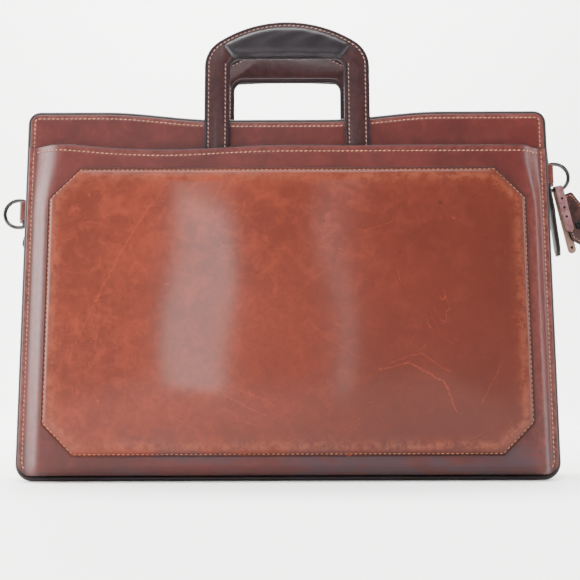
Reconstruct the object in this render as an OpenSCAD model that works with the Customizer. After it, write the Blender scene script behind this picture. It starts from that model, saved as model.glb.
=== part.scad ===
// Zip-top leather briefcase with slip pockets and sliding drop handles.
// The case stands upright: X runs along its width, the front faces -Y and Z is up.
// "u" is a distance from the centre plane, measured towards the front or towards the rear.

/* [Case] */
// Width of the case over its piping
case_w = 432; // [400:1:460]
// Height of the case from its base to its top edge
case_h = 300; // [290:1:320]
// Clear depth of the main compartment
inside_d = 36; // [36:1:50]
// Radius of the lower corners
low_corner_r = 14; // [12:1:18]
// Radius of the upper corners
top_corner_r = 10; // [8:1:14]
// Diameter of the edge piping
piping_d = 4.8; // [4:0.2:5]

/* [Leather] */
// Thickness of the panel leather
leather_t = 2; // [1.6:0.1:2.2]
// Thickness of the stiffening board
board_t = 1.6; // [1.2:0.1:2]
// Thickness of the lining cloth
lining_t = 0.8; // [0.6:0.1:1]

/* [Pockets] */
// Height of the pocket mouths above the base
mouth_z = 268; // [262:1:272]
// Clear depth of each slip pocket
pocket_gap = 8.6; // [8.4:0.1:12]
// Half width of the raised centre panel
centre_half_w = 193; // [170:1:196]
// Lowest height of the centre panel
centre_low_z = 20; // [18:1:40]
// Highest height of the centre panel
centre_top_z = 250; // [220:1:252]
// Length of the centre panel's cut corners along each side
centre_cut = 25; // [15:1:40]

/* [Handles] */
// Highest point of the raised handles
handle_top_z = 377; // [374:1:382]
// Half width over the handle legs
handle_half_w = 68.5; // [66:0.5:72]
// Width of one handle leg
leg_w = 21; // [18:0.5:22]
// Radius of the arched top
arch_r = 103.4; // [98:0.1:110]
// Outer corner radius between the arch and a leg
handle_corner_r = 26; // [22:1:28]
// Height of the hand gap's upper edge
gap_top_z = 345; // [342:1:346]
// Distance that a handle drops into its pocket
handle_drop = 70; // [40:1:70]

/* [Hardware] */
// Height of the left ring's centre
left_ring_z = 219.5; // [210:0.5:250]
// Height of the right ring's centre
right_ring_z = 250; // [240:0.5:256]
// Wire diameter of the rings
ring_wire_d = 3.2; // [2.8:0.1:3.4]
// Resting place of the zip slider
slider_x = 188; // [150:1:190]

/* [Hidden] */
$fn = 48;

// Colours of the finishes
panel_tan = [0.59, 0.28, 0.16];
border_brown = [0.45, 0.20, 0.16];
handle_brown = [0.30, 0.14, 0.13];
grip_black = [0.16, 0.15, 0.18];
piping_black = [0.08, 0.07, 0.08];
board_grey = [0.55, 0.50, 0.42];
lining_brown = [0.30, 0.22, 0.17];
foam_cream = [0.85, 0.80, 0.66];
tape_black = [0.07, 0.07, 0.08];
metal_grey = [0.55, 0.53, 0.48];
strap_mauve = [0.55, 0.38, 0.38];

// Layers of a wall, as distances from the centre plane
u_lining = inside_d / 2;
u_board = u_lining + lining_t;
u_panel = u_board + board_t;
u_pocket = u_panel + leather_t;
pocket_lining_t = 0.6;
u_pocket_sheet = u_pocket + pocket_gap;
u_pocket_face = u_pocket_sheet + leather_t;
centre_leather_t = 1.6;
padding_t = 1.4;

// Edges of a wall
piping_r = piping_d / 2;
piping_inset = piping_r;
edge_gap = 0.2;
panel_inset = piping_d + edge_gap;
welt_t = 1;
u_welt = u_panel - welt_t;
u_piping = u_panel - welt_t / 2;
seam_w = 8;
inner_inset = panel_inset + seam_w + 1;

// Gussets: a strip that closes the case between its walls, with its edges turned inwards
gusset_t = leather_t;
u_gusset = u_welt - 0.1;
u_gusset_wall = u_gusset - gusset_t;
gusset_x = case_w / 2 - panel_inset;
gusset_top_z = case_h - 15;
corner_run = low_corner_r + 3;
belly_slope = 3.8;
base_board_t = 2.5;

// Zip across the top
facing_z = case_h - 13;
facing_t = 1.6;
facing_u = 8;
tape_t = 0.6;
teeth_gap = 0.5;
teeth_w = 2.6;
teeth_h = 2.8;
teeth_z = case_h - 12.4;
zip_half_l = case_w / 2 - 12;

// Zip tails, which fold down over the gussets
tail_half_w = 10.5;
tail_t = 2.4;
tail_z = case_h - 9.4;
tail_bend_r = 7;
tail_start = case_w / 2 - 11;
tail_bend_x = case_w / 2 - 4;
right_tail_run = [[220.3, 262], [221.3, 241], [225.5, 222], [229.5, 182]];
left_tail_run = [[219, 262], [219.2, 207], [222.9, 193], [220.5, 187]];

// Handles
u_handle = u_pocket + 0.4;
handle_skin_t = 1.4;
handle_core_t = 2.4;
handle_t = 2 * handle_skin_t + handle_core_t;
grip_pad_t = 2.6;
gap_corner_r = 5;
keeper_z = case_h - 75;
keeper_h = 22;
keeper_t = 1.2;
keeper_foot = 5;
keeper_clear = 0.4;
stop_h = 14.6;
stop_margin = 3;
leg_low_z = keeper_z - keeper_clear;

// Rings and their straps
ring_wire_r = ring_wire_d / 2;
ring_bar_x = 223.3;
ring_r = 11.6;
ring_arm = 5;
ring_bend_r = 2.5;
ring_strap_h = 16;
ring_strap_t = 1.8;
ring_slot_r = ring_wire_r + 0.3;
strap_inner_x = 221.8;

// Tag, which hangs from the lowest stretch of the right ring
tag_lean = 12;
tag_bore_r = 2.5;
tag_strap_w = 7;
tag_strap_t = 1.5;
tag_pivot = [
    ring_bar_x + ring_arm + ring_r * sin(tag_lean),
    right_ring_z - ring_r * cos(tag_lean)
];
tag_front_leg = 37;
tag_rear_leg = 55;
tag_plate_t = 2.2;
tag_plate_lean = 21;
tag_plate_top = [6.3, 0.6];
tag_plate_l = 50;
snap_along = 32.6;
snap_off = -2;
snap_r = 3.6;
snap_shank_r = 1.8;

// Zip slider and its pull
slider_l = 12;
slider_half_w = 5.2;
slider_plate_t = 1.5;
slider_clear = 0.8;
slider_web_t = 0.6;
pull_bar_r = 0.9;
pull_bore_r = 1.2;
pull_w = 4.4;
lug_t = 1.2;
lug_gap = 0.4;
pull_bar_z = 4;
pull_plate_l = 12;
pull_tab_l = 26;
pull_tab_w = 8;
pull_tab_t = 2.6;

// Points of an arc about a centre, from angle a0 to angle a1
function arc(cx, cz, r, a0, a1, n = 6) =
    [for (i = [0:n]) let (a = a0 + (a1 - a0) * i / n) [cx + r * cos(a), cz + r * sin(a)]];

// A list of points in the opposite order
function backwards(points) = [for (i = [len(points) - 1:-1:0]) points[i]];

// Outline of a wall, drawn in from the outermost edge of the case
function wall_outline(inset) =
    let (
        w = case_w / 2 - inset,
        low = max(low_corner_r - inset, 1),
        top = max(top_corner_r - inset, 1)
    )
    concat(
        arc(w - low, inset + low, low, -90, 0),
        arc(w - top, case_h - inset - top, top, 0, 90),
        arc(-w + top, case_h - inset - top, top, 90, 180),
        arc(-w + low, inset + low, low, 180, 270)
    );

// Outline of a pocket sheet with a straight mouth
function pocket_outline(inset, top_z) =
    let (w = case_w / 2 - inset, low = max(low_corner_r - inset, 2))
    concat(
        arc(w - low, inset + low, low, -90, 0),
        [[w, top_z], [-w, top_z]],
        arc(-w + low, inset + low, low, 180, 270)
    );

// Outline of the eight-sided centre panel, drawn in by an inset
function centre_outline(inset) =
    let (
        w = centre_half_w - inset,
        z0 = centre_low_z + inset,
        z1 = centre_top_z - inset,
        c = centre_cut - inset * tan(22.5)
    )
    [
        [w - c, z0], [w, z0 + c], [w, z1 - c], [w - c, z1],
        [-w + c, z1], [-w, z1 - c], [-w, z0 + c], [-w + c, z0]
    ];

// Outline of a handle: two legs under an arch
function handle_outer(inset, low_z) =
    let (
        w = handle_half_w - inset,
        big_r = arch_r - inset,
        small_r = handle_corner_r - inset,
        arch_z = handle_top_z - arch_r,
        a = acos((handle_half_w - handle_corner_r) / (arch_r - handle_corner_r)),
        cx = handle_half_w - handle_corner_r,
        cz = arch_z + (arch_r - handle_corner_r) * sin(a)
    )
    concat(
        [[w, low_z]],
        arc(cx, cz, small_r, 0, a),
        arc(0, arch_z, big_r, a, 180 - a, 16),
        arc(-cx, cz, small_r, 180 - a, 180),
        [[-w, low_z]]
    );
function handle_gap(low_z) =
    let (w = handle_half_w - leg_w, r = gap_corner_r)
    concat(
        [[w, low_z]],
        arc(w - r, gap_top_z - r, r, 0, 90),
        arc(-w + r, gap_top_z - r, r, 90, 180),
        [[-w, low_z]]
    );

// A flat sheet that stands upright on the front side, from u outwards
module sheet(points, u, t) {
    translate([0, -u, 0]) rotate([90, 0, 0]) linear_extrude(t) polygon(points);
}

// The frame that is left between two outlines
module frame_sheet(outer, inner, u, t) {
    difference() {
        sheet(outer, u, t);
        translate([0, 0.5, 0]) sheet(inner, u, t + 1);
    }
}

// Turns a front part into its rear twin
module to_rear() {
    mirror([0, 1, 0]) children();
}

// Turns a right-hand part into its left twin
module to_left() {
    mirror([1, 0, 0]) children();
}

// Round piping along the edge of a wall, with the flat welt that is sewn into the seam
module piping() {
    x1 = case_w / 2 - piping_inset;
    z0 = piping_inset;
    z1 = case_h - piping_inset;
    low = low_corner_r - piping_inset;
    top = top_corner_r - piping_inset;
    corners = [
        [x1 - low, z0 + low, low, -90], [x1 - top, z1 - top, top, 0],
        [-x1 + top, z1 - top, top, 90], [-x1 + low, z0 + low, low, 180]
    ];
    for (c = corners)
        translate([c[0], -u_piping, c[1]]) rotate([90, 0, 0]) rotate([0, 0, c[3]])
            rotate_extrude(angle = 90) translate([c[2], 0]) circle(piping_r);
    for (s = [-1, 1])
        translate([s * x1, -u_piping, z0 + low]) cylinder(r = piping_r, h = z1 - top - z0 - low);
    translate([-x1 + low, -u_piping, z0]) rotate([0, 90, 0])
        cylinder(r = piping_r, h = 2 * (x1 - low));
    translate([-x1 + top, -u_piping, z1]) rotate([0, 90, 0])
        cylinder(r = piping_r, h = 2 * (x1 - top));
    frame_sheet(wall_outline(piping_inset + 0.4), wall_outline(panel_inset + seam_w), u_welt, welt_t);
}

module wall_panel() {
    color(border_brown) sheet(wall_outline(panel_inset), u_panel, leather_t);
}

module wall_board() {
    color(board_grey) sheet(wall_outline(inner_inset), u_board, board_t);
}

module wall_lining() {
    color(lining_brown) sheet(wall_outline(inner_inset), u_lining, lining_t);
}

// Shallow tray of leather whose rim is sewn to the wall and whose top is open
module pocket_panel() {
    rim_w = 6;
    difference() {
        sheet(pocket_outline(panel_inset, mouth_z), u_pocket, pocket_gap + leather_t);
        translate([0, 0.5, 0])
            sheet(pocket_outline(panel_inset + rim_w, mouth_z + 1), u_pocket, pocket_gap + 0.5);
    }
}

module pocket_lining() {
    color(lining_brown)
        sheet(pocket_outline(panel_inset + 6.2, mouth_z), u_pocket_sheet - pocket_lining_t, pocket_lining_t);
}

// Two straps on the wall, each of which guides a handle leg
module handle_keepers() {
    leg_x = handle_half_w - leg_w / 2;
    span = leg_w + 2 * keeper_clear;
    reach = handle_t + 0.4 + keeper_clear;
    color(border_brown)
        for (s = [-1, 1])
            translate([s * leg_x, -u_pocket - reach - keeper_t, keeper_z])
                difference() {
                    translate([-span / 2 - keeper_foot, 0, 0])
                        cube([span + 2 * keeper_foot, reach + keeper_t, keeper_h]);
                    translate([-span / 2, keeper_t, -1])
                        cube([span, reach + 1, keeper_h + 2]);
                }
}

module zip_facing() {
    color(border_brown)
        translate([-zip_half_l, -u_lining + 0.1, facing_z])
            cube([2 * zip_half_l, u_lining - 0.1 - facing_u, facing_t]);
}

module zip_tape() {
    inner_u = teeth_gap + teeth_w;
    color(tape_black)
        translate([-zip_half_l, -facing_u - 5, facing_z + facing_t])
            cube([2 * zip_half_l, facing_u + 5 - inner_u, tape_t]);
}

module zip_teeth() {
    color(metal_grey)
        translate([-zip_half_l + 2, -teeth_gap - teeth_w, teeth_z])
            cube([2 * zip_half_l - 4, teeth_w, teeth_h]);
}

module zip_tail(run) {
    cz = tail_z - tail_bend_r;
    outer = concat([[tail_start, tail_z]], arc(tail_bend_x, cz, tail_bend_r, 90, 0), run);
    inner = concat(
        [[tail_start, tail_z - tail_t]],
        arc(tail_bend_x, cz, tail_bend_r - tail_t, 90, 0),
        [for (p = run) [p[0] - tail_t, p[1]]]
    );
    color(tape_black)
        translate([0, tail_half_w, 0]) rotate([90, 0, 0]) linear_extrude(2 * tail_half_w)
            polygon(concat(outer, backwards(inner)));
}

// Side gusset: a strip down the side and round the lower corner, with turned-in edges
module side_gusset() {
    cx = case_w / 2 - low_corner_r;
    r = low_corner_r - panel_inset;
    end_x = case_w / 2 - corner_run;
    outer = concat([[end_x, panel_inset]], arc(cx, low_corner_r, r, -90, 0), [[gusset_x, gusset_top_z]]);
    strip_inner = concat(
        [[gusset_x - gusset_t, gusset_top_z]],
        arc(cx, low_corner_r, r - gusset_t, 0, -90),
        [[end_x, panel_inset + gusset_t]]
    );
    seam_inner = [
        [gusset_x - seam_w, gusset_top_z], [gusset_x - seam_w, panel_inset + seam_w],
        [end_x, panel_inset + seam_w]
    ];
    color(border_brown) {
        translate([0, u_gusset_wall, 0]) rotate([90, 0, 0]) linear_extrude(2 * u_gusset_wall)
            polygon(concat(outer, strip_inner));
        sheet(concat(outer, seam_inner), u_gusset_wall, gusset_t);
        to_rear() sheet(concat(outer, seam_inner), u_gusset_wall, gusset_t);
    }
}

// Base gusset: its middle bellies down to the level that the case stands on
module base_gusset() {
    half_l = case_w / 2 - corner_run;
    flat_u = u_gusset_wall - belly_slope;
    seam_z = panel_inset + 0.2;
    half_outer = [
        [flat_u, 0], [u_gusset_wall, seam_z], [u_gusset, seam_z], [u_gusset, panel_inset + seam_w],
        [u_gusset_wall, panel_inset + seam_w], [u_gusset_wall, seam_z + gusset_t],
        [flat_u - 1, gusset_t]
    ];
    mirrored = [for (p = backwards(half_outer)) [-p[0], p[1]]];
    end_slope = 7;
    color(border_brown)
        intersection() {
            translate([-half_l, 0, 0]) rotate([90, 0, 90]) linear_extrude(2 * half_l)
                polygon(concat(half_outer, mirrored));
            translate([0, 30, 0]) rotate([90, 0, 0]) linear_extrude(60)
                polygon([
                    [-half_l + end_slope, -1], [half_l - end_slope, -1], [half_l - end_slope, 0],
                    [half_l + 0.01, seam_z], [half_l + 0.01, 20],
                    [-half_l - 0.01, 20], [-half_l - 0.01, seam_z], [-half_l + end_slope, 0]
                ]);
        }
}

module base_board() {
    half_l = case_w / 2 - corner_run - 9;
    half_u = u_gusset_wall - belly_slope - 1.2;
    color(board_grey)
        translate([-half_l, -half_u, gusset_t]) cube([2 * half_l, 2 * half_u, base_board_t]);
}

// Strap that crosses a gusset over the zip tail and holds the bar of a ring
module ring_strap(z) {
    a = asin((strap_inner_x + ring_strap_t - ring_bar_x) / (ring_slot_r + ring_strap_t));
    b = asin((strap_inner_x - ring_bar_x) / (ring_slot_r + ring_strap_t));
    wall_y = tail_half_w + 0.5;
    foot_y = u_gusset_wall - 0.3;
    top_x = strap_inner_x + ring_strap_t;
    bump = arc(0, ring_bar_x, ring_slot_r + ring_strap_t, a, 180 - a, 10);
    slot = arc(0, ring_bar_x, ring_slot_r, 180, 0, 10);
    outline = concat(
        [[foot_y, gusset_x], [foot_y, gusset_x + ring_strap_t],
         [wall_y + ring_strap_t, gusset_x + ring_strap_t], [wall_y + ring_strap_t, top_x]],
        bump,
        [[-wall_y - ring_strap_t, top_x], [-wall_y - ring_strap_t, gusset_x + ring_strap_t],
         [-foot_y, gusset_x + ring_strap_t], [-foot_y, gusset_x],
         [-wall_y, gusset_x], [-wall_y, strap_inner_x], [-ring_slot_r, strap_inner_x]],
        slot,
        [[ring_slot_r, strap_inner_x], [wall_y, strap_inner_x], [wall_y, gusset_x]]
    );
    color(border_brown)
        translate([0, 0, z - ring_strap_h / 2]) linear_extrude(ring_strap_h)
            polygon([for (p = outline) [p[1], p[0]]]);
}

// D-shaped wire ring with an upright bar
module d_ring(z) {
    arm_end = ring_bar_x + ring_arm;
    bar_half = ring_r - ring_bend_r;
    color(metal_grey)
        translate([0, 0, z]) {
            translate([ring_bar_x, 0, -bar_half]) cylinder(r = ring_wire_r, h = 2 * bar_half);
            translate([arm_end, 0, 0]) rotate([90, 0, 0]) rotate([0, 0, -90])
                rotate_extrude(angle = 180) translate([ring_r, 0]) circle(ring_wire_r);
            for (s = [-1, 1]) {
                translate([ring_bar_x + ring_bend_r, 0, s * ring_r]) rotate([0, 90, 0])
                    cylinder(r = ring_wire_r, h = ring_arm - ring_bend_r);
                translate([ring_bar_x + ring_bend_r, 0, s * bar_half]) rotate([90, 0, 0])
                    rotate([0, 0, s > 0 ? 90 : 180])
                        rotate_extrude(angle = 90) translate([ring_bend_r, 0]) circle(ring_wire_r);
            }
        }
}

// Slip pocket sewn to the rear lining
module inner_pocket() {
    half_w = 120;
    low_z = 60;
    top_z = 215;
    cloth_t = 0.9;
    slack = 0.7;
    color(lining_brown)
        difference() {
            translate([-half_w, u_lining - cloth_t - slack, low_z])
                cube([2 * half_w, cloth_t + slack, top_z - low_z]);
            translate([-half_w + 5, u_lining - slack, low_z + 5])
                cube([2 * half_w - 10, slack + 1, top_z]);
        }
}

module centre_panel() {
    border = 7;
    color(panel_tan)
        difference() {
            sheet(centre_outline(0), u_pocket_face, padding_t + centre_leather_t);
            translate([0, 0.5, 0]) sheet(centre_outline(border), u_pocket_face, padding_t + 0.5);
        }
}

module centre_padding() {
    color(foam_cream) sheet(centre_outline(7.1), u_pocket_face, padding_t);
}

module handle_layer(u, t) {
    difference() {
        sheet(handle_outer(0, leg_low_z), u, t);
        translate([0, 0.5, 0]) sheet(handle_gap(leg_low_z - 1), u, t + 1);
    }
}

module handle_face() {
    color(handle_brown) handle_layer(u_handle + handle_skin_t + handle_core_t, handle_skin_t);
}

module handle_core() {
    color(board_grey) handle_layer(u_handle + handle_skin_t, handle_core_t);
}

module handle_back() {
    color(handle_brown) handle_layer(u_handle, handle_skin_t);
}

module grip_pad() {
    inset = 5.5;
    arch_z = handle_top_z - arch_r;
    color(grip_black)
        sheet(
            concat(
                [[46, gap_top_z + 1.5]],
                arc(0, arch_z, arch_r - inset, 57, 123, 12),
                [[-46, gap_top_z + 1.5]]
            ),
            u_handle + handle_t, grip_pad_t
        );
}

module handle_stops() {
    color(handle_brown)
        for (s = [-1, 1])
            translate([
                s * (handle_half_w - leg_w / 2) - leg_w / 2 - stop_margin,
                -u_handle - handle_t, leg_low_z - stop_h
            ])
                cube([leg_w + 2 * stop_margin, handle_t, stop_h]);
}

// Slider: two plates and a web that runs between the rows of teeth, with lugs for the pull
module zip_slider() {
    top_z = teeth_z + teeth_h + slider_clear;
    low_z = teeth_z - slider_clear - slider_plate_t;
    bar_z = top_z + pull_bar_z;
    half_l = slider_l / 2;
    lug_y = pull_w / 2 + lug_gap;
    color(metal_grey) {
        for (z = [low_z, top_z])
            translate([slider_x - half_l, -slider_half_w, z])
                cube([slider_l, 2 * slider_half_w, slider_plate_t]);
        translate([slider_x - half_l, -slider_web_t / 2, low_z])
            cube([slider_l, slider_web_t, top_z - low_z + slider_plate_t]);
        for (s = [-1, 1])
            translate([slider_x - 2, s * (lug_y + lug_t / 2) - lug_t / 2, top_z])
                cube([4, lug_t, pull_bar_z + 1.6]);
        translate([slider_x, -lug_y - lug_t, bar_z]) rotate([-90, 0, 0])
            cylinder(r = pull_bar_r, h = 2 * (lug_y + lug_t));
    }
}

// Metal link with an eye on the slider's bar
module zip_pull_plate() {
    bar_z = teeth_z + teeth_h + slider_clear + pull_bar_z;
    color(metal_grey)
        translate([slider_x, 0, bar_z])
            difference() {
                union() {
                    translate([0, -pull_w / 2, 0]) rotate([-90, 0, 0]) cylinder(r = 2, h = pull_w);
                    translate([-pull_plate_l, -pull_w / 2, -0.8]) cube([pull_plate_l, pull_w, 1.6]);
                }
                translate([0, -pull_w, 0]) rotate([-90, 0, 0])
                    cylinder(r = pull_bore_r, h = 2 * pull_w);
            }
}

// Leather tab on the end of the link
module zip_pull_tab() {
    bar_z = teeth_z + teeth_h + slider_clear + pull_bar_z;
    lap = 4;
    color(border_brown)
        translate([slider_x - pull_plate_l + lap, 0, bar_z - pull_tab_t / 2])
            difference() {
                translate([-pull_tab_l, -pull_tab_w / 2, 0])
                    cube([pull_tab_l, pull_tab_w, pull_tab_t]);
                translate([-lap, -pull_w / 2, pull_tab_t / 2 - 0.8])
                    cube([lap + 1, pull_w, 1.6]);
            }
}

// Places a part whose own origin is the tag's pivot and whose -Z runs down the hanging tag
module at_tag_pivot() {
    translate([tag_pivot[0], 0, tag_pivot[1]]) rotate([0, -tag_lean, 0]) children();
}

// Strap folded over the ring's wire, with a short front leg and a long rear leg
module tag_strap() {
    outer_r = tag_bore_r + tag_strap_t;
    color(strap_mauve)
        at_tag_pivot()
            difference() {
                union() {
                    translate([-tag_strap_w / 2, 0, 0]) rotate([0, 90, 0])
                        cylinder(r = outer_r, h = tag_strap_w);
                    translate([-tag_strap_w / 2, -outer_r, -tag_front_leg])
                        cube([tag_strap_w, tag_strap_t, tag_front_leg]);
                    translate([-tag_strap_w / 2, outer_r - tag_strap_t, -tag_rear_leg])
                        cube([tag_strap_w, tag_strap_t, tag_rear_leg]);
                }
                translate([-tag_strap_w, 0, 0]) rotate([0, 90, 0])
                    cylinder(r = tag_bore_r, h = 2 * tag_strap_w);
            }
}

// Outline of the tag, from its narrow top to its cut lower corners
function tag_outline() = [
    [4, -3.5], [12.5, -36], [12.5, -42], [6, -tag_plate_l],
    [-6, -tag_plate_l], [-12.5, -42], [-12.5, -36], [-4, -3.5]
];

module tag_plate_place() {
    translate([tag_pivot[0] + tag_plate_top[0], 0, tag_pivot[1] + tag_plate_top[1]])
        rotate([0, -tag_plate_lean, 0]) children();
}

module tag_plate() {
    color(handle_brown)
        tag_plate_place()
            difference() {
                translate([0, tag_plate_t / 2, 0]) rotate([90, 0, 0]) linear_extrude(tag_plate_t)
                    polygon(tag_outline());
                translate([snap_off, tag_plate_t, -snap_along]) rotate([90, 0, 0])
                    cylinder(r = snap_shank_r + 0.02, h = 2 * tag_plate_t);
            }
}

// Snap with a round cap on each face of the tag
module tag_snap() {
    cap_t = 1.2;
    half_t = tag_plate_t / 2 + 0.02;
    color(metal_grey)
        tag_plate_place()
            translate([snap_off, 0, -snap_along]) rotate([90, 0, 0]) {
                translate([0, 0, -half_t - cap_t]) cylinder(r = snap_shank_r, h = 2 * (half_t + cap_t));
                for (s = [-1, 1])
                    translate([0, 0, s * (half_t + cap_t / 2) - cap_t / 2])
                        cylinder(r = snap_r, h = cap_t);
            }
}

to_rear() wall_panel();  // rear_panel
to_rear() wall_board();  // rear_board
to_rear() wall_lining();  // rear_lining
color(border_brown) to_rear() pocket_panel();  // rear_pocket_panel
to_rear() pocket_lining();  // rear_pocket_lining
to_rear() handle_keepers();  // rear_handle_keepers
color(piping_black) to_rear() piping();  // rear_piping
base_gusset();
base_board();
to_left() side_gusset();  // left_gusset
side_gusset();  // right_gusset
to_rear() zip_facing();  // rear_zip_facing
to_rear() zip_tape();  // rear_zip_tape
to_rear() zip_teeth();  // rear_zip_teeth
to_left() zip_tail(left_tail_run);  // left_zip_tail
zip_tail(right_tail_run);  // right_zip_tail
to_left() ring_strap(left_ring_z);  // left_ring_strap
ring_strap(right_ring_z);  // right_ring_strap
inner_pocket();
wall_panel();  // front_panel
wall_board();  // front_board
wall_lining();  // front_lining
color(border_brown) pocket_panel();  // front_pocket_panel
pocket_lining();  // front_pocket_lining
handle_keepers();  // front_handle_keepers
color(piping_black) piping();  // front_piping
centre_panel();
centre_padding();
zip_facing();  // front_zip_facing
zip_tape();  // front_zip_tape
zip_teeth();  // front_zip_teeth
handle_face();  // front_handle_face
handle_core();  // front_handle_core
handle_back();  // front_handle_back
grip_pad();  // front_grip_pad
handle_stops();  // front_handle_stops
to_rear() handle_face();  // rear_handle_face
to_rear() handle_core();  // rear_handle_core
to_rear() handle_back();  // rear_handle_back
to_rear() grip_pad();  // rear_grip_pad
to_rear() handle_stops();  // rear_handle_stops
zip_slider();
zip_pull_plate();
zip_pull_tab();
to_left() d_ring(left_ring_z);  // left_d_ring
d_ring(right_ring_z);  // right_d_ring
tag_strap();
tag_plate();
tag_snap();
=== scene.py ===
"""Zip-top leather briefcase: the looks of every piece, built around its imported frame."""

import math

import bmesh
import bpy
from bpy.props import FloatProperty, FloatVectorProperty, PointerProperty
from mathutils import Matrix, Vector


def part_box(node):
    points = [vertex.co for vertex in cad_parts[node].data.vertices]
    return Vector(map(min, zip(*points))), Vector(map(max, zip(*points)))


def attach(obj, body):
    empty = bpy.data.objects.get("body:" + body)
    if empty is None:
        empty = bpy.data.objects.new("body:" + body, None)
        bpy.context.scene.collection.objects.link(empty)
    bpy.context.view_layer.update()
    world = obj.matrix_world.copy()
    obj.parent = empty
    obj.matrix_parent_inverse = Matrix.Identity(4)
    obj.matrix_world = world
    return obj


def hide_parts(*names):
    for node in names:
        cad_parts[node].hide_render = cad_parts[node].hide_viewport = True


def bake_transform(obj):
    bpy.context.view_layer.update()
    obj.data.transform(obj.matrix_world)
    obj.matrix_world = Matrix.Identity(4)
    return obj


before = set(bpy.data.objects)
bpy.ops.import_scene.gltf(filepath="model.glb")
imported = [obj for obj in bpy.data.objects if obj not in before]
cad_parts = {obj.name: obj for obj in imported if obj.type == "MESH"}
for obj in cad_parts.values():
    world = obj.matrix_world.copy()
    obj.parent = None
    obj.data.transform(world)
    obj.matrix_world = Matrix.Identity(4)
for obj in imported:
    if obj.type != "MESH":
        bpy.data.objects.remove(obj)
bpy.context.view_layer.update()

bl_info = {
    "name": "Leather briefcase",
    "version": (1, 0, 0),
    "blender": (4, 5, 0),
    "location": "3D View > Sidebar > Briefcase",
    "description": "Builds a worn leather briefcase with slip pockets, drop handles and side rings",
    "category": "Add Mesh",
}

MM = 0.001
PANEL_LOW, PANEL_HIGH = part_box("front_panel")
POCKET_LOW, POCKET_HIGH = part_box("front_pocket_panel")
CENTRE_LOW, CENTRE_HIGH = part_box("centre_panel")
HANDLE_LOW, HANDLE_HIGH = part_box("front_handle_face")
HANDLE_BACK_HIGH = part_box("front_handle_back")[1]
PIPING_LOW, PIPING_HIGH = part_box("front_piping")
GUSSET_LOW, GUSSET_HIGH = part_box("right_gusset")
BASE_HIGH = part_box("base_gusset")[1]
FACING_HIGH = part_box("front_zip_facing")[1]
TAPE_LOW, TAPE_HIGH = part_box("front_zip_tape")
TEETH_LOW, TEETH_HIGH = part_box("front_zip_teeth")

WRAP = 2.0 * MM
HALF_W = PANEL_HIGH.x + WRAP
WALL_LOW = PANEL_LOW.z - 0.3 * MM
WALL_TOP = PANEL_HIGH.z + WRAP
CASE_HALF_W = PIPING_HIGH.x
CASE_H = PIPING_HIGH.z
U_PANEL = -PANEL_LOW.y
U_FLANGE = U_PANEL + 1.3 * MM
U_POCKET = -POCKET_LOW.y
MOUTH_Z = POCKET_HIGH.z
LOW_CORNER = 11.0 * MM
TOP_CORNER = 7.6 * MM


# ---------------------------------------------------------------- shapes


def smooth(t):
    """Eases from 0 to 1."""
    t = min(max(t, 0.0), 1.0)
    return t * t * (3.0 - 2.0 * t)


def hump(t):
    """A bell of height 1 at t = 0 and about 0 past t = 2."""
    return math.exp(-t * t)


def arc(cx, cz, r, a0, a1, n):
    """Points of an arc, angles in degrees."""
    angles = [math.radians(a0 + (a1 - a0) * i / n) for i in range(n + 1)]
    return [(cx + r * math.cos(a), cz + r * math.sin(a)) for a in angles]


def spaced(low, high, steps, pitch):
    """Coordinates from low to high: close together near the ends, about a pitch apart between."""
    near = [low + s for s in steps]
    far = [high - s for s in reversed(steps)]
    count = max(1, round((far[0] - near[-1]) / pitch))
    span = far[0] - near[-1]
    return near + [near[-1] + span * i / count for i in range(1, count)] + far


def segment_distance(x, z, a, b):
    """Distance from a point to the segment between a and b."""
    dx, dz = b[0] - a[0], b[1] - a[1]
    t = ((x - a[0]) * dx + (z - a[1]) * dz) / max(dx * dx + dz * dz, 1e-12)
    t = min(max(t, 0.0), 1.0)
    return math.hypot(x - a[0] - t * dx, z - a[1] - t * dz)


def outline_distance(x, z, points, closed=True):
    """Distance from a point to the nearest side of an outline."""
    ends = points[1:] + points[:1] if closed else points[1:]
    return min(segment_distance(x, z, a, b) for a, b in zip(points, ends))


def round_corner(x, z, cx, cz, r, sx, sz):
    """Moves a point of a square corner onto a round one."""
    a, b = (x - cx) * sx / r, (z - cz) * sz / r
    if a <= 0.0 or b <= 0.0:
        return x, z
    return (
        cx + sx * r * a * math.sqrt(max(1.0 - b * b / 2.0, 0.0)),
        cz + sz * r * b * math.sqrt(max(1.0 - a * a / 2.0, 0.0)),
    )


def grid(xs, zs):
    """A flat grid in the XZ plane that faces -Y, through the given coordinates."""
    bm = bmesh.new()
    nx, nz = len(xs) - 1, len(zs) - 1
    bmesh.ops.create_grid(bm, x_segments=nx, y_segments=nz, size=0.5)
    for v in bm.verts:
        i, k = round((v.co.x + 0.5) * nx), round((v.co.y + 0.5) * nz)
        v.co = Vector((xs[i], 0.0, zs[k]))
    return bm


def round_grid(xs, zs, low_r, top_r):
    """A grid whose four corners are round."""
    bm = grid(xs, zs)
    w, z0, z1 = xs[-1], zs[0], zs[-1]
    for v in bm.verts:
        x, z = v.co.x, v.co.z
        for sx in (-1, 1):
            if low_r > 0:
                x, z = round_corner(x, z, sx * (w - low_r), z0 + low_r, low_r, sx, -1)
            if top_r > 0:
                x, z = round_corner(x, z, sx * (w - top_r), z1 - top_r, top_r, sx, 1)
        v.co = Vector((x, 0.0, z))
    return bm


def rim_distance(x, z, half_w, z0, z1, low_r, top_r):
    """Distance inwards from the edge of an upright rectangle with round corners."""
    ax = abs(x)
    if ax > half_w - low_r and z < z0 + low_r:
        return low_r - math.hypot(ax - half_w + low_r, z - z0 - low_r)
    if ax > half_w - top_r and z > z1 - top_r:
        return top_r - math.hypot(ax - half_w + top_r, z - z1 + top_r)
    return min(half_w - ax, z - z0, z1 - z)


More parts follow.
